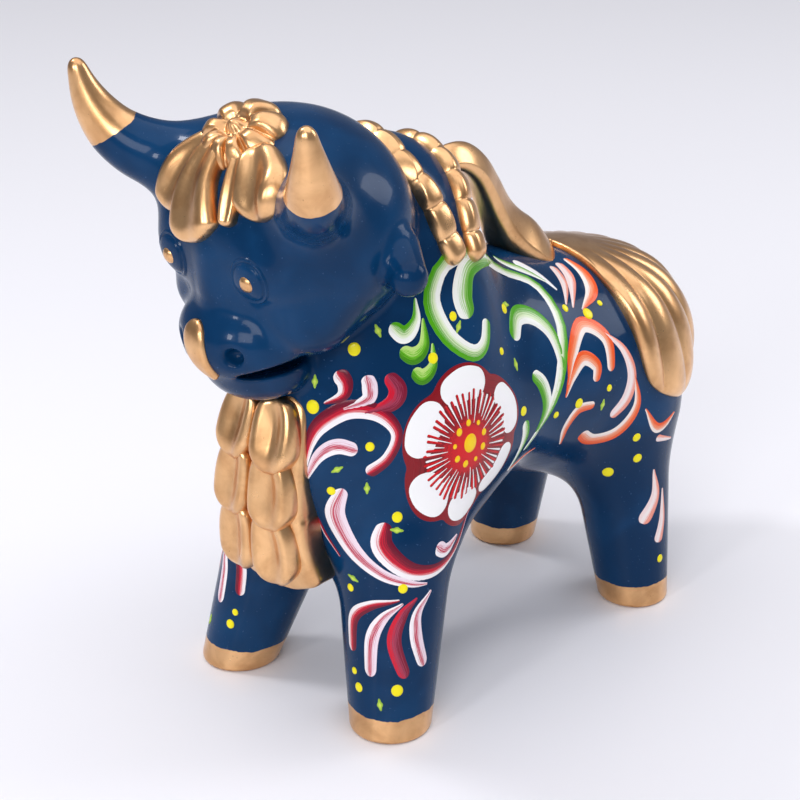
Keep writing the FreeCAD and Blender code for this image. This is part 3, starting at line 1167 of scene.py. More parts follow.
@dataclass
class Face:
    """The eyes and the gilded tongue."""

    skin: Skin
    gold: bpy.types.Material
    glaze: bpy.types.Material
    eye: Point = (-3.2, 13.4, -32.4)
    half: tuple[float, float] = (5.6, 6.4)

    def build(self) -> None:
        """Builds both eyes and the tongue."""
        brow = datum("head", 1, 0, 1)
        ring = (
            (0, 0.95), (0.30, 0.93), (0.55, 0.80), (0.70, 0.62), (0.76, 0.30), (0.80, 0.16), (0.84, 0.34), (0.90, 0.42),
            (1.0, 0.0),
        )
        button = ((0, 1.75), (0.5, 1.6), (0.8, 1.25), (1.0, 0.8))
        for side, other in (("left", False), ("right", True)):
            disc = Clay(f"eye_disc_{side}")
            pupil = Clay(f"eye_pupil_{side}")
            place = tuple(brow + self.eye)
            disc.add(*lay_patches(self.skin, [Patch(place, self.half, 0.6, profile=ring)], 48, 64, other)[0])
            disc.build(self.glaze, "eye_glaze", (f"eye_{side}",))
            pupil.add(*lay_patches(self.skin, [Patch(place, (1.9, 2.0), 0.8, profile=button)], 14, 32, other)[0])
            pupil.build(self.gold, "gold_lustre")
        tongue = Clay("gilt_tongue")
        offsets = ((-3.0, -1.6, -44.5), (-0.6, -1.2, -49.0), (-1.0, 0.4, -53.5), (-3.5, 3.0, -57.5))
        points = tuple(tuple(brow + p) for p in offsets)
        tongue.add(*lay_strips(self.skin, [Strip(points, (3.0, 3.7, 2.9, 0.8), 1.2)], 48, 17)[0])
        tongue.build(self.gold, "gold_lustre", ("tongue",))


@dataclass
class Rosette:
    """The forelock flower: a lobed blossom over four hanging, dished petals."""

    skin: Skin
    gold: bpy.types.Material
    radius: float = 10.4
    lobes: int = 8
    pitch: float = 34.0

    def build(self) -> None:
        """Builds the petals and the blossom."""
        root = datum("head", 1, 0, 1)
        petals = {
            "right": Strip(
                self.at(root, ((-14, -6, -5), (-8.5, -12.5, -13), (-5.5, -14.5, -22.0))),
                (3.0, 4.6, 5.4, 5.6, 4.6), 3.0, 1.5, 0.2,
            ),
            "middle": Strip(
                self.at(root, ((-13, -3, -3), (-5, -4.5, -12), (-1.0, -3.5, -20), (0.5, -2.0, -25.5))),
                (3.4, 5.2, 7.0, 8.0, 7.2), 4.2, 1.9, 0.0,
            ),
            "fold": Strip(
                self.at(root, ((-12, 4, -5), (-6, 6.5, -13), (-2.5, 8, -20))),
                (1.2, 2.0, 2.3, 1.8), 3.0, 0.9, 0.2,
            ),
            "left": Strip(
                self.at(root, ((-14, 7, -4), (-8.5, 13.5, -10.5), (-5.0, 16.5, -17.5))),
                (3.6, 6.0, 7.8, 8.2, 7.0), 4.2, 1.7, 0.0,
            ),
        }
        for name, strip in petals.items():
            clay = Clay(f"gilt_petal_{name}")
            clay.add(*lay_strips(self.skin, [strip], 64, 33)[0])
            clay.build(self.gold, "gold_lustre", (f"rosette_petal_{name}",))
        self.blossom(root)

    @staticmethod
    def at(root: Array, offsets: tuple[Point, ...]) -> tuple[Point, ...]:
        """Returns the offsets as points."""
        return tuple(tuple(root + o) for o in offsets)

    def blossom(self, root: Array) -> None:
        """Builds the blossom.

        In its own tilted plane the outline is R (1 - 0.12 v), where v = (1 - |cos(n a / 2)|)^2.2 marks the valleys
        between n lobes, and the height is 4.6 sqrt(1 - rho^3), creased in the valleys, with a ringed button in the
        middle.

        Args:
            root: the place on the head that it is measured from.
        """
        rings, cols = 44, 180
        rho = np.sin(np.linspace(0, math.pi / 2, rings))[:, None]
        angle = np.linspace(0, 2 * math.pi, cols, endpoint=False)[None]
        front = 0.5 + 0.5 * np.cos(angle)
        lobe = np.abs(np.cos(0.5 * self.lobes * (angle + 0.25 * np.sin(angle))))
        valley = (1 - lobe) ** 2.2
        r = self.radius * rho * (1 - 0.12 * valley) * (1 + 0.10 * np.abs(np.sin(angle)) - 0.08 * front)
        crease = valley * np.clip((rho - 0.3) / 0.4, 0, 1)
        height = 4.6 * np.sqrt(1 - rho**3) - 1.3 * crease * np.sqrt(1 - rho**8) + 1.1 * np.exp(-((rho / 0.15) ** 2))
        height = height - 1.3 * np.exp(-(((rho - 0.27) / 0.085) ** 2))
        height = height + 0.9 * np.exp(-(((rho - 0.64) / 0.24) ** 2)) * (1 - valley)
        x, y = r * np.cos(angle), r * np.sin(angle)
        low = np.full_like(x, -3.0)
        grid = np.concatenate((np.stack((x, y, height), -1), np.stack((x, y, low), -1)[::-1]))
        lean = math.radians(self.pitch)
        ahead = np.array((math.cos(lean), 0, -math.sin(lean)))
        up = np.array((math.sin(lean), 0, math.cos(lean)))
        centre = root + (-16.5, -1.0, -4.6)
        place = centre + grid[..., :1] * ahead + grid[..., 1:2] * (0, 1, 0) + grid[..., 2:] * up
        clay = Clay("gilt_blossom")
        clay.add(place)
        clay.build(self.gold, "gold_lustre", ("rosette_blossom",))


@dataclass
class Dewlap:
    """The gilded dewlap: a plate on the breast that carries three tiers of paired, dished lobes."""

    gold: bpy.types.Material
    half: Point = (13.0, 26.0, 36.0)
    outline: tuple[tuple[float, float], ...] = (
        (91, 8.5), (88, 11.2), (80, 12.4), (65, 12.8), (52, 13.4), (45, 14.6), (41, 14.2), (38.5, 9.0),
    )

    def build(self) -> None:
        """Builds the plate and the lobes."""
        foot = datum("dewlap_backing", 0, 0, -1)
        centre = np.array((datum("dewlap_backing", 1, 0, 0)[0] - 13.0, 0.0, foot[2] + 26.0))
        bed = Bed(Lump(centre, self.half))
        self.plate(centre)
        self.lobes(bed, foot[2])

    def plate(self, centre: Array) -> None:
        """Builds the plate: x = c + a sqrt(1 - (y/b)^2 - (z/h)^2) inside the outline, its edge turned back.

        Args:
            centre: middle of the ellipsoid whose front the plate follows.
        """
        heights, widths = (np.array(c, float) for c in zip(*self.outline))
        rows, cols = 60, 41
        t = np.linspace(0, 1, rows)
        z = curve_through(heights[:, None], t)[:, 0]
        w = curve_through(widths[:, None], t)[:, 0]
        v = np.sin(np.linspace(-math.pi / 2, math.pi / 2, cols))
        y = w[:, None] * v[None]
        level = z[:, None] - 1.6 * (v[None] ** 2) * (z[:, None] > 60) + 0 * y
        bulge = np.clip(1 - (y / self.half[1]) ** 2 - ((level - centre[2]) / self.half[2]) ** 2, 0, 1)
        edge = 1.5 * (1 - np.sqrt(1 - v**8))[None]
        x = centre[0] + self.half[0] * np.sqrt(bulge) - edge
        front = np.stack((x, y, level), -1)
        back = np.stack((np.minimum(x - 6.0, centre[0] + 4.0), y * 0.97, level), -1)
        clay = Clay("gilt_dewlap_plate")
        clay.add(np.concatenate((front, back[:, -2:0:-1]), 1))
        clay.build(self.gold, "gold_lustre", ("dewlap_backing",))

    def lobes(self, bed: Bed, foot: float) -> None:
        """Builds the six lobes, each a little proud of the one below.

        Args:
            bed: the surface they are pressed onto.
            foot: height of the plate's lower edge.
        """
        tiers = {"upper": (54.5, 34.5), "middle": (40.0, 20.0), "lower": (25.0, 4.5)}
        for tier, (high, low) in tiers.items():
            for side, sign in (("left", 1), ("right", -1)):
                spine = ((4.6, high), (6.0, 0.5 * (high + low) + 2), (6.4, low))
                points = tuple((66.0, sign * y, foot + z) for y, z in spine)
                strip = Strip(points, (3.4, 5.4, 6.3, 6.4, 5.2), 4.8, 2.6, 0.12, swell=0.5)
                clay = Clay(f"gilt_dewlap_{tier}_{side}")
                clay.add(*lay_strips(bed, [strip], 56, 33)[0])
                clay.build(self.gold, "gold_lustre", (f"dewlap_lobe_{tier}_{side}",))


@dataclass
class Collars:
    """The two ruffled collars: rows of pinched lobes over the neck."""

    skin: Skin
    gold: bpy.types.Material

    def build(self) -> None:
        """Builds the front and the rear collar."""
        self.ruffle("front", 12.0, 26.0, 99.0, 11, -2.6)
        self.ruffle("rear", -12.0, 24.0, 97.0, 10, -2.6)

    def ruffle(self, name: str, lean: float, radius: float, reach: float, beads: int, back: float) -> None:
        """Builds one collar along an arc that leans with the neck.

        Args:
            name: front or rear.
            lean: tilt of the arc in degrees.
            radius: its radius.
            reach: how far it goes down each side, in degrees from the top.
            beads: number of lobes.
            back: how far it sits behind the middle of its node's box, as a negative number.
        """
        foot = datum(f"collar_{name}", 0, 0, -1)
        top = datum(f"collar_{name}", 0, 0, 1)
        angle = np.radians(np.linspace(-reach, reach, 25))
        rise = np.array((math.sin(math.radians(lean)), 0, math.cos(math.radians(lean))))
        middle = np.array((foot[0] - 0.5 * radius * rise[0] + back, 0, top[2] - (radius + 4.2) * rise[2]))
        arc = middle + radius * (np.cos(angle)[:, None] * rise + np.sin(angle)[:, None] * np.array((0, 1, 0)))
        strip = Strip(tuple(map(tuple, arc)), (2.4, 3.3, 3.2, 3.3, 3.3, 3.3, 3.2, 3.4, 3.0), 3.2, beads=beads)
        clay = Clay(f"gilt_collar_{name}")
        clay.add(*lay_strips(self.skin, [strip], 260, 21)[0])
        clay.build(self.gold, "gold_lustre", (f"collar_{name}",))


@dataclass
class Strap:
    """The ridged strap that arches from the neck to the saddle and ends in a knob."""

    gold: bpy.types.Material
    stations: tuple[tuple[float, float, float, float], ...] = (
        (6, 131, 3.6, 3.0), (1, 132, 4.0, 3.4), (-4, 130.6, 4.2, 3.8), (-9, 126.6, 4.2, 4.0),
        (-13.2, 120.5, 4.2, 4.2), (-17, 113.5, 5.0, 4.8), (-21.5, 107, 6.6, 6.0), (-27, 102, 8.0, 6.4),
        (-32.5, 97.5, 8.0, 5.2), (-37, 92, 5.6, 3.4),
    )

    def build(self) -> None:
        """Builds the strap.

        Along the line, the section is w cos a across, and 1.25 th (1 - |cos a|^1.5) above the line and
        -0.75 th sqrt(1 - cos^4 a) below it, so that a ridge runs down its middle.
        """
        stations = np.array(self.stations) + (0, datum("back_handle", 0, 0, 1)[2] - 138.6, 0, 0)
        rows, cols = 110, 48
        t = (1 - np.cos(np.linspace(0, math.pi, rows))) / 2
        x, z, wide, thick = curve_through(stations, t).T
        line = np.stack((x, 0 * x, z), -1)
        ahead = unit(np.gradient(line, axis=0))
        above = np.cross(ahead, (0, 1, 0))
        above *= np.sign(above[:, 2:3] + above[:, :1] * -0.5 + 1e-9)
        cap = np.sqrt(np.clip(1 - (1 - np.clip(t / 0.06, 0, 1)) ** 2, 0, 1)) * np.sqrt(
            np.clip(1 - (1 - np.clip((1 - t) / 0.1, 0, 1)) ** 2, 0, 1)
        )
        a = np.linspace(0, 2 * math.pi, cols, endpoint=False)
        c = np.cos(a)
        upper = 1.25 * (1 - np.abs(c) ** 1.5)
        lower = -0.75 * np.sqrt(1 - c**4)
        lift = np.where(np.sin(a) >= 0, upper, lower)
        grid = line[:, None] + (wide * cap)[:, None, None] * c[None, :, None] * np.array((0, 1, 0))
        grid = grid + (thick * cap)[:, None, None] * lift[None, :, None] * above[:, None]
        clay = Clay("gilt_back_strap")
        clay.add(grid)
        clay.build(self.gold, "gold_lustre", ("back_handle",))


@dataclass
class Drape:
    """The pleated cloth over the rump, which fans out from the top of the back."""

    skin: Skin
    gold: bpy.types.Material
    pleat: float = 17.0
    thickness: float = 1.5
    fold: float = 1.9

    def build(self) -> None:
        """Builds the drape.

        Directions fan out from the top of the rump at angle a around and b down. The cloth reaches down to b(a), where
        it meets its front edge or its hem. It is settled on the skin and stands off by the thickness plus
        fold |cos(180 a / pleat)|^0.62, which fades towards the top.
        """
        centre = datum("rump_drape", -1, 0, -1) * (1, 0, 1) + (43.2, 0, 14.0)
        around = np.linspace(0, 2 * math.pi, 541)[:-1]
        down = np.radians(np.linspace(0, 118, 237))
        reach = down[self.inside(centre, around, down).argmin(1) - 1]
        kernel = np.hanning(27)
        kernel /= kernel.sum()
        reach = np.convolve(np.concatenate((reach[-40:], reach, reach[:40])), kernel, "same")[40:-40]
        rings = 88
        share = np.sin(np.linspace(0, math.pi / 2, rings))[:, None]
        fall = share * reach[None]
        points = self.sphere(centre, np.broadcast_to(around, fall.shape), fall)
        base, outward = self.skin.settle(points.reshape(-1, 3), 6)
        base, outward = base.reshape(points.shape), outward.reshape(points.shape)
        wave = np.abs(np.cos(math.pi * (np.degrees(around) - 90) / self.pleat + 0.35)) ** 0.62
        fade = np.clip((fall - 0.25) / 0.7, 0, 1)
        fade = fade * fade * (3 - 2 * fade) * (1 - 0.35 * share**6)
        lift = (self.thickness + self.fold * wave[None] * fade) * np.sqrt(1 - share**14) - 0.15 * share**14
        upper = base + outward * lift[..., None]
        lower = base - 0.6 * outward
        clay = Clay("gilt_rump_drape")
        clay.add(np.concatenate((upper, lower[::-1])))
        clay.build(self.gold, "gold_lustre", ("rump_drape",))

    @staticmethod
    def sphere(centre: Array, around: Array, down: Array) -> Array:
        """Returns points of the rump's own ellipsoid at angles around its upright axis and down from its top."""
        level = np.sin(down)
        flat = np.stack((np.cos(around) * level * 40, np.sin(around) * level * 32, np.cos(down) * 31), -1)
        return centre + flat

    def inside(self, centre: Array, around: Array, down: Array) -> Array:
        """Marks the directions that the cloth covers: behind its front edge and above its hem.

        Args:
            centre: middle of the rump.
            around: angles around, from straight ahead.
            down: angles down from the top.

        Returns:
            One row per angle around, its last column always false.
        """
        p = self.sphere(centre, around[:, None] + 0 * down, 0 * around[:, None] + down)
        edge = centre[0] + 3.8
        hem = centre[2] - 8.3 + 0.028 * np.maximum(p[..., 0] - centre[0] + 18, 0) ** 2
        covered = (p[..., 0] < edge) & (p[..., 2] > hem)
        covered[:, -1] = False
        return np.minimum.accumulate(covered, 1)


# ---------------------------------------------------------------- brushed enamel


class Load(Enum):
    """What a brush was loaded with: the stroke's near edge, its middle and its far edge."""

    SPRING = Enamel("spring_green", (0.88, 0.89, 0.84), (0.66, 0.78, 0.48), (0.075, 0.36, 0.008), 0.5)
    MEADOW = Enamel("meadow_green", (0.065, 0.32, 0.008), (0.26, 0.52, 0.12), (0.86, 0.88, 0.80), 0.6)
    LEAF = Enamel("leaf_green", (0.05, 0.24, 0.008), (0.15, 0.50, 0.02), (0.50, 0.72, 0.20), 0.8)
    CRIMSON = Enamel("crimson", (0.90, 0.86, 0.87), (0.62, 0.008, 0.030), (0.15, 0.006, 0.024), 0.5)
    ROSE = Enamel("rose", (0.90, 0.86, 0.88), (0.50, 0.010, 0.050), (0.84, 0.70, 0.78), 0.6)
    MAROON = Enamel("maroon", (0.60, 0.008, 0.030), (0.34, 0.05, 0.10), (0.20, 0.008, 0.030), 1.0)
    SUNSET = Enamel("sunset", (0.90, 0.80, 0.74), (0.88, 0.30, 0.15), (0.84, 0.10, 0.018), 0.5)
    BLUSH = Enamel("blush", (0.88, 0.70, 0.68), (0.90, 0.82, 0.80), (0.86, 0.30, 0.22), 0.5)
    WHITE = Enamel("white", (0.92, 0.92, 0.91), (0.93, 0.92, 0.92), (0.91, 0.90, 0.90), 0.3)
    BORDER = Enamel("border_red", (0.20, 0.004, 0.010), (0.15, 0.004, 0.008), (0.24, 0.006, 0.012), 1.0)
    HEART = Enamel("heart_red", (0.66, 0.005, 0.010), (0.58, 0.006, 0.012), (0.24, 0.004, 0.010), 0.5)
    YOLK = Enamel("yolk_yellow", (0.95, 0.66, 0.008), (0.95, 0.62, 0.006), (0.92, 0.56, 0.006), 0.3)
    LEMON = Enamel("lemon_yellow", (0.93, 0.82, 0.012), (0.92, 0.80, 0.010), (0.88, 0.77, 0.010), 0.3)
    SPROUT = Enamel("sprout_green", (0.60, 0.72, 0.10), (0.46, 0.64, 0.07), (0.32, 0.52, 0.05), 0.6)


# A brush load, then the stroke's points on the left flank, then its half widths at equal steps along it.
STROKES = (
    (Load.SPRING,
     ((16, 28, 102), (19, 30, 97), (24, 30, 96), (30, 29, 101), (33, 27, 108), (32, 25, 113),
      (26, 24, 118), (14, 22, 116), (-4, 16, 107), (-13, 17, 101), (-15, 24, 92), (-10, 30, 82),
      (-4, 32, 72), (3, 32, 62)),
     (1.8, 2.0, 2.2, 2.5, 2.3, 1.9, 1.6, 1.7, 1.8, 1.5, 0.3)),
    (Load.MEADOW,
     ((23, 28, 104), (23, 26, 110), (18, 24, 115), (8, 20, 113), (-3, 15, 107)),
     (2.8, 3.7, 3.1, 1.8, 0.3)),
    (Load.SPRING,
     ((5, 27, 93), (1, 24, 97), (-5, 24, 96), (-10, 26, 90), (-10, 30, 82), (-5, 32, 73)),
     (2.5, 2.7, 2.5, 1.9, 1.2, 0.3)),
    (Load.MEADOW,
     ((1, 31, 84), (-2, 31, 80), (-3, 32, 74), (-1, 32, 68), (2, 32, 62)),
     (1.6, 2.1, 1.7, 1.0, 0.3)),
    (Load.SPRING, ((6, 32, 73), (5, 32, 68), (6, 32, 62), (8, 31, 58)), (1.4, 1.5, 0.9, 0.3)),
    (Load.SPRING, ((-6, 10, 108), (-12, 12, 103), (-18, 15, 97)), (1.2, 1.5, 0.3)),
    (Load.WHITE, ((-13, 9, 103), (-17, 13, 99), (-20, 17, 95)), (1.6, 1.3, 0.3)),
    (Load.SPRING, ((44, 23, 107), (41, 24, 104), (38, 25, 107), (37, 24, 112)), (1.6, 2.2, 1.3, 0.3)),
    (Load.LEAF, ((43, 25, 101), (40, 26, 99), (37, 26, 101), (36, 25, 107)), (1.5, 2.2, 1.5, 0.3)),
    (Load.LEAF, ((41, 27, 96), (39, 28, 94), (36, 28, 96), (35, 27, 101)), (1.4, 2.0, 1.3, 0.3)),
    (Load.CRIMSON, ((56, 17, 97), (54, 18, 94), (55, 18, 91), (58, 15, 89)), (2.2, 2.0, 1.4, 0.3)),
    (Load.ROSE, ((51, 22, 96), (50, 22, 93), (51, 22, 90), (56, 19, 88)), (1.5, 1.9, 1.6, 0.3)),
    (Load.MAROON, ((47, 25, 96), (45, 26, 92), (47, 26, 89), (52, 22, 87)), (1.6, 2.3, 2.0, 0.3)),
    (Load.CRIMSON,
     ((62, 12, 72), (61, 13, 79), (59, 15, 84), (55, 20, 88), (50, 25, 87), (47, 28, 82),
      (49, 27, 76), (53, 24, 72)),
     (0.4, 1.4, 2.2, 2.4, 2.1, 1.5, 1.5, 1.8)),
    (Load.ROSE, ((62, 12, 69), (60, 15, 76), (58, 19, 79), (54, 22, 78)), (0.4, 1.5, 2.0, 1.8)),
    (Load.ROSE,
     ((56, 19, 68), (57, 17, 60), (55, 20, 52), (51, 26, 46), (46, 31, 43), (42, 33, 42)),
     (1.5, 2.7, 2.5, 1.7, 1.0, 0.3)),
    (Load.CRIMSON,
     ((50, 27, 59), (51, 27, 53), (47, 31, 47), (41, 33, 45), (35, 33, 46), (29, 32, 50),
      (25, 31, 57)),
     (1.8, 2.9, 2.5, 1.9, 1.4, 0.9, 0.3)),
    (Load.ROSE, ((39, 33, 51), (36, 33, 49), (31, 32, 51)), (2.1, 1.8, 0.3)),
    (Load.CRIMSON, ((60, 13, 58), (58, 14, 53), (56, 17, 48)), (0.3, 0.5, 0.3)),
    (Load.CRIMSON, ((49, 31, 39), (53, 25, 37), (56, 20, 32), (56, 20, 23)), (0.3, 1.3, 1.8, 1.5)),
    (Load.ROSE, ((48, 31, 38), (52, 28, 34), (54, 26, 28), (54, 26, 18)), (0.3, 1.4, 1.9, 1.6)),
    (Load.MAROON, ((45, 33, 39), (49, 32, 35), (51, 31, 28), (49, 33, 18)), (0.3, 1.4, 1.9, 1.6)),
    (Load.ROSE, ((41, 34, 40), (45, 33, 35), (46, 34, 29), (44, 34, 20)), (0.3, 1.3, 1.8, 1.6)),
    (Load.BLUSH, ((-27, 10, 98), (-25, 15, 95), (-20, 20, 92)), (1.5, 1.4, 0.3)),
    (Load.BLUSH, ((-31, 9, 98), (-29, 15, 96), (-22, 21, 91)), (1.4, 1.7, 0.3)),
    (Load.SUNSET, ((-35, 8, 98), (-35, 15, 96), (-32, 20, 93), (-25, 22, 90)), (0.8, 1.9, 2.0, 0.3)),
    (Load.SUNSET,
     ((-11, 31, 77), (-15, 29, 84), (-22, 26, 89), (-28, 28, 84), (-27, 31, 76)),
     (0.3, 1.8, 2.4, 2.1, 1.4)),
    (Load.SUNSET,
     ((-10, 31, 74), (-13, 31, 79), (-18, 30, 82), (-22, 31, 79), (-21, 31, 75)),
     (0.3, 1.6, 2.1, 1.9, 1.3)),
    (Load.BLUSH,
     ((-28, 27, 85), (-33, 30, 80), (-35, 31, 73), (-33, 32, 67), (-28, 31, 63)),
     (0.3, 1.3, 2.0, 2.2, 1.7)),
    (Load.SUNSET,
     ((-36, 32, 73), (-37, 33, 64), (-31, 32, 57), (-24, 30, 56), (-19, 30, 60)),
     (0.3, 1.5, 2.0, 2.2, 1.9)),
    (Load.SUNSET, ((-21, 31, 69), (-15, 31, 69), (-12, 31, 64), (-13, 29, 57)), (1.2, 1.6, 1.3, 0.3)),
    (Load.SUNSET, ((-40, 34, 62), (-45, 34, 55), (-53, 34, 57)), (0.3, 1.6, 0.3)),
    (Load.BLUSH, ((-45, 34, 52), (-53, 33, 49)), (1.3, 0.3)),
    (Load.BLUSH, ((-46, 33, 42), (-47, 33, 34), (-43, 32, 26)), (0.3, 1.8, 2.5)),
    (Load.BLUSH, ((-50, 33, 35), (-50, 34, 26), (-48, 34, 19)), (0.3, 1.6, 2.1)),
    (Load.SUNSET, ((8, 31, 58), (2, 31, 57), (-4, 31, 58)), (0.3, 1.1, 0.3)),
)

# Middle of each dot on the left flank, and its radius.
DOTS = (
    (34, 23, 118, 1.3), (52, 19, 102, 1.5), (36, 29, 98, 1.3), (60, 13, 88, 1.6), (52, 24, 79, 1.1),
    (58, 17, 67, 1.1), (47, 28, 60, 1.3), (54, 19, 40, 1.0), (48, 31, 42, 1.2), (55, 23, 14, 1.2),
    (51, 32, 15, 1.5), (28, 28, 106, 1.1), (12, 30, 93, 0.9), (7, 32, 76, 1.2), (-7, 31, 70, 0.9),
    (-26, 24, 90, 1.5), (-26, 31, 72, 0.9), (-15, 31, 71, 1.3), (-38, 33, 54, 1.2), (-40, 32, 47, 1.3),
    (-34, 27, 43, 1.6), (-49, 34, 14, 1.1), (5, 25, 101, 1.2), (-19, 21, 92, 1.0), (-32, 23, 91, 0.8),
    (57, 21, 18, 0.9),
)

# Middle of each small leaf on the left flank, and its lean in degrees.
LEAVES = (
    (47, 22, 106, 20), (59, 13, 94, 0), (58, 19, 73, -60), (53, 24, 68, 0), (48, 29, 57, 80),
    (54, 20, 43, 70), (54, 29, 11, 10), (27, 28, 103, -40), (7, 30, 88, -5), (3, 25, 102, 60),
    (-24, 31, 68, -10),
)


@dataclass
class Painter:
    """Paints the enamel on both flanks: strokes, dots and leaves, and the great flower."""

    skin: Skin
    middle: Point = (28.7, 34.0, 74.5)
    flower: tuple[float, float] = (20.6, 21.4)
    petals: tuple[tuple[float, float, float], ...] = (
        (19, 26, 3.4), (90, 29, 4.2), (151, 29, 4.6), (221, 26, 4.7), (270, 21, 4.0), (319, 25, 2.9),
    )
    spokes: int = 42
    materials: dict[Load, bpy.types.Material] = field(default_factory=dict)

    def build(self) -> None:
        """Paints the left flank, then its mirror image on the right."""
        self.materials = {load: load.value.material() for load in Load}
        for side, mirrored in (("left", False), ("right", True)):
            self.strokes(side, mirrored)
            self.spots(side, mirrored)
            self.blossom(side, mirrored)

    def origin(self) -> Array:
        """Returns the place on the ground that the painting is measured from."""
        return datum("body_half_left", 1, -1, -1) - (64, 0, 32)

    def moved(self, points: tuple) -> tuple[Point, ...]:
        """Returns points of the painting as places in the frame."""
        return tuple(tuple(self.origin() + p) for p in points)

    def put(self, name: str, load: Load, grids: list[tuple[Array, Array]]) -> None:
        """Writes grids of one enamel as one piece."""
        clay = Clay(name)
        for grid, uv in grids:
            clay.add(grid, uv)
        clay.build(self.materials[load], "navy_glaze")

    def strokes(self, side: str, mirrored: bool) -> None:
        """Paints the brush strokes, each load's as one piece.

        Args:
            side: left or right.
            mirrored: whether this is the right.
        """
        strips = [Strip(self.moved(points), half, 0.13, sink=0.002 * i) for i, (_, points, half) in enumerate(STROKES)]
        grids = lay_strips(self.skin, strips, 56, 11, mirrored)
        for load in dict.fromkeys(load for load, _, _ in STROKES):
            chosen = [grid for grid, (other, _, _) in zip(grids, STROKES) if other is load]
            self.put(f"strokes_{load.value.name}_{side}", load, chosen)

    def spots(self, side: str, mirrored: bool) -> None:
        """Paints the dots and the small leaves.

        Args:
            side: left or right.
            mirrored: whether this is the right.
        """
        dots = [Patch(self.moved((d[:3],))[0], (d[3], 1.08 * d[3]), 0.28) for d in DOTS]
        self.put(f"dots_{side}", Load.LEMON, lay_patches(self.skin, dots, 7, 24, mirrored))
        tip = (0.8, 0.62, 1.0, 0.62, 0.8, 0.62, 1.0, 0.62)
        leaves = [Patch(self.moved((d[:3],))[0], (1.0, 1.75), 0.2, turn=d[3], outline=tip) for d in LEAVES]
        self.put(f"leaves_{side}", Load.SPROUT, lay_patches(self.skin, leaves, 7, 24, mirrored))

    def polar(self, degrees: float, share: float, jitter: float = 0.0) -> Point:
        """Returns the place in the flower at an angle from straight back and a share of its radius."""
        a = math.radians(degrees)
        across, up = self.flower
        x, _, z = self.middle
        return (x - (share + jitter) * across * math.cos(a), self.middle[1], z + (share + jitter) * up * math.sin(a))

    def blossom(self, side: str, mirrored: bool) -> None:
        """Paints the flower: scalloped border, six white petals, a toothed red heart with rays, a yellow eye and dots.

        Args:
            side: left or right.
            mirrored: whether this is the right.
        """
        stations = np.radians(np.arange(72) * 5)
        notches_and_tips = (-11, 19, 56, 94, 122, 151, 184, 219, 244, 268, 294, 319, 349, 379)
        hills = np.interp(np.degrees(stations), notches_and_tips, (0, 1) * 7)
        scallops = tuple(0.885 + 0.115 * np.sin(hills * math.pi / 2) ** 0.8)
        centre = self.moved((self.middle,))[0]
        border = [Patch(centre, self.flower, 0.09, outline=scallops)]
        self.put(f"flower_border_{side}", Load.BORDER, lay_patches(self.skin, border, 40, 120, mirrored))
        petals = []
        for degrees, spread, half in self.petals:
            share = 0.945 - half / 20.5
            arc = tuple(self.polar(degrees + k * spread, share - 0.03 * abs(k)) for k in (-1.02, -0.5, 0, 0.5, 1.02))
            petals.append(Strip(self.moved(arc), (0.86 * half, half, 1.06 * half, half, 0.86 * half), 0.17))
        self.put(f"flower_petals_{side}", Load.WHITE, lay_strips(self.skin, petals, 40, 21, mirrored))
        teeth = tuple(1.0 - 0.10 * (i % 2) + 0.03 * math.sin(2.3 * i) for i in range(84))
        heart = [Patch(centre, (0.58 * self.flower[0], 0.58 * self.flower[1]), 0.21, outline=teeth)]
        self.put(f"flower_heart_{side}", Load.HEART, lay_patches(self.skin, heart, 30, 336, mirrored))
        rays, dark = [], []
        for i in range(self.spokes):
            turn = 360 / self.spokes * (i + 0.5) + 1.5 * math.sin(5.1 * i)
            reach = 0.34 + 0.05 * math.sin(3.7 * i) + 0.03 * math.sin(1.3 * i)
            path = tuple(self.polar(turn, share) for share in (reach, 0.5, 0.64))
            rays.append(Strip(self.moved(path), (0.08, 0.21, 0.36), 0.27))
            turn = 360 / self.spokes * i + 1.2 * math.sin(2.9 * i)
            path = tuple(self.polar(turn, share, 0.02 * math.sin(4.3 * i)) for share in (0.42, 0.53, 0.665))
            dark.append(Strip(self.moved(path), (0.24, 0.45, 0.52), 0.25))
        self.put(f"flower_rays_{side}", Load.WHITE, lay_strips(self.skin, rays, 12, 5, mirrored))
        self.put(f"flower_teeth_{side}", Load.HEART, lay_strips(self.skin, dark, 12, 5, mirrored))
        eye = [Patch(self.moved(((28.3, 34, 75.2),))[0], (2.1, 2.6), 0.5)]
        for i in range(9):
            a = math.radians(40 * i + 95)
            spot = (28.3 - 4.9 * math.cos(a), 34, 75.2 + 5.4 * math.sin(a))
            size = 0.78 + 0.18 * math.sin(2.2 * i)
            eye.append(Patch(self.moved((spot,))[0], (size, 1.2 * size), 0.42))
        self.put(f"flower_eye_{side}", Load.YOLK, lay_patches(self.skin, eye, 8, 28, mirrored))


# ---------------------------------------------------------------- the studio


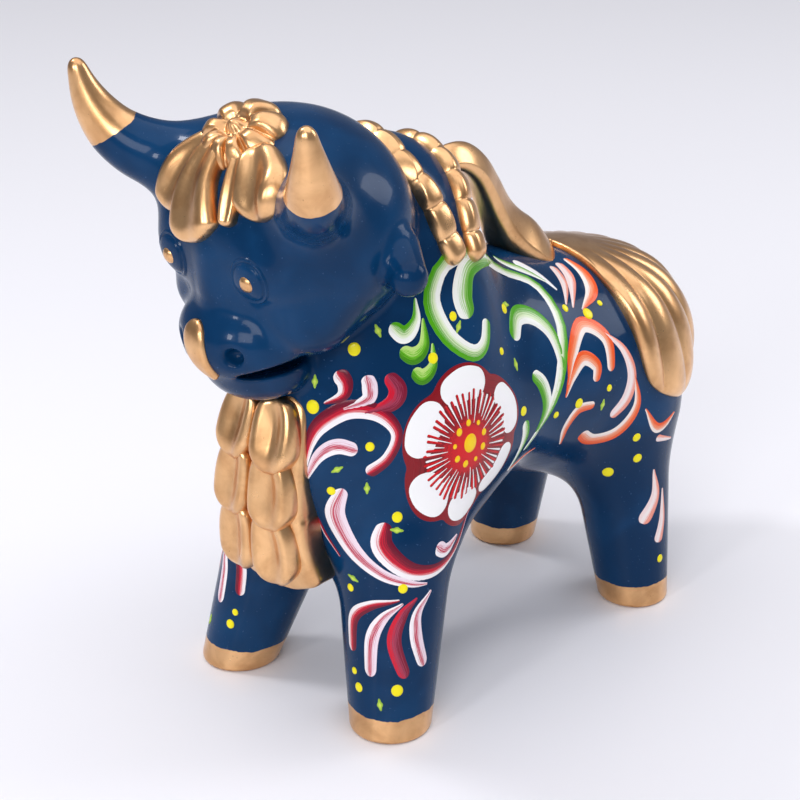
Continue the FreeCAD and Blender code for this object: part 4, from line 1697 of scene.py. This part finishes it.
@dataclass
class Studio:
    """A pale tabletop, soft lights and the camera."""

    eye: Point = (346.1, 326.4, 280.7)
    aim: Point = (7.3, -10.5, 65.6)
    lens: float = 90.0

    def build(self) -> None:
        """Sets up the whole studio."""
        self.floor()
        self.lights()
        self.camera()

    def floor(self) -> None:
        """Lays the tabletop, a sheet that reaches far past the view, a hair under the soles."""
        side = np.linspace(-6000, 6000, 9)
        x, y = np.meshgrid(side, side, indexing="ij")
        points = np.stack((x, y, np.full_like(x, -0.02)), -1).reshape(-1, 3)
        i = np.arange(8)[:, None] * 9 + np.arange(8)
        quads = np.stack((i, i + 9, i + 10, i + 1), -1).reshape(-1, 4)
        made = write_mesh("tabletop", points, quads, np.zeros((0, 3), int))
        made.data.materials.append(StudioFloor().material())

    def light(self, name: str, place: Point, aim: Point, size: tuple[float, float], power: float, tint: Point) -> None:
        """Adds a rectangular softbox.

        Args:
            name: name of the light.
            place: its middle, in metres.
            aim: the point it faces, in metres.
            size: its width and height in metres.
            power: its power in watts.
            tint: its colour.
        """
        lamp = bpy.data.lights.new(name, "AREA")
        lamp.shape = "RECTANGLE"
        lamp.size, lamp.size_y = size
        lamp.energy = power
        lamp.color = tint
        made = bpy.data.objects.new(name, lamp)
        made.location = place
        made.rotation_euler = (Vector(aim) - Vector(place)).to_track_quat("-Z", "Y").to_euler()
        bpy.context.scene.collection.objects.link(made)

    def lights(self) -> None:
        """Hangs the softboxes and sets the room's pale glow."""
        cool = (0.965, 0.965, 1.0)
        self.light("overhead_softbox", (-0.2, 0.1, 1.9), (-0.1, 0.0, 0.0), (2.8, 2.8), 32.0, cool)
        self.light("right_softbox", (0.32, -0.55, 0.92), (0.03, 0, 0.1), (0.17, 0.17), 3.0, cool)
        self.light("rear_softbox", (-0.85, 0.42, 0.55), (0.0, 0, 0.1), (0.42, 0.46), 2.6, cool)
        self.light("front_softbox", (0.95, 0.60, 0.62), (0.0, 0, 0.07), (0.5, 0.5), 5.5, cool)
        self.light("window_softbox", (0.95, 0.10, 0.45), (0.0, 0, 0.1), (0.12, 0.2), 1.7, cool)
        world = bpy.data.worlds.new("studio_room")
        bpy.context.scene.world = world
        world.use_nodes = True
        backdrop = world.node_tree.nodes["Background"]
        backdrop.inputs[0].default_value = (0.93, 0.935, 1.0, 1.0)
        backdrop.inputs[1].default_value = 0.27

    def camera(self) -> None:
        """Places the camera."""
        lens = bpy.data.cameras.new("camera")
        lens.lens = self.lens
        lens.sensor_width = 36
        lens.clip_end = 50
        made = bpy.data.objects.new("camera", lens)
        eye, aim = Vector(self.eye) * MM, Vector(self.aim) * MM
        made.location = eye
        made.rotation_euler = (aim - eye).to_track_quat("-Z", "Y").to_euler()
        bpy.context.scene.collection.objects.link(made)
        bpy.context.scene.camera = made


def main() -> None:
    """Builds the bull and its studio in order."""
    skin = Skin()
    lustre = GoldLustre()
    glaze = NavyGlaze()
    gold = lustre.material()
    plain = Casting(skin).build(glaze, lustre)
    Face(skin, gold, plain).build()
    Rosette(skin, gold).build()
    Dewlap(gold).build()
    Collars(skin, gold).build()
    Strap(gold).build()
    Drape(skin, gold).build()
    Painter(skin).build()
    Studio().build()
    bpy.context.scene.view_settings.view_transform = "Standard"


if __name__ == "__main__":
    main()
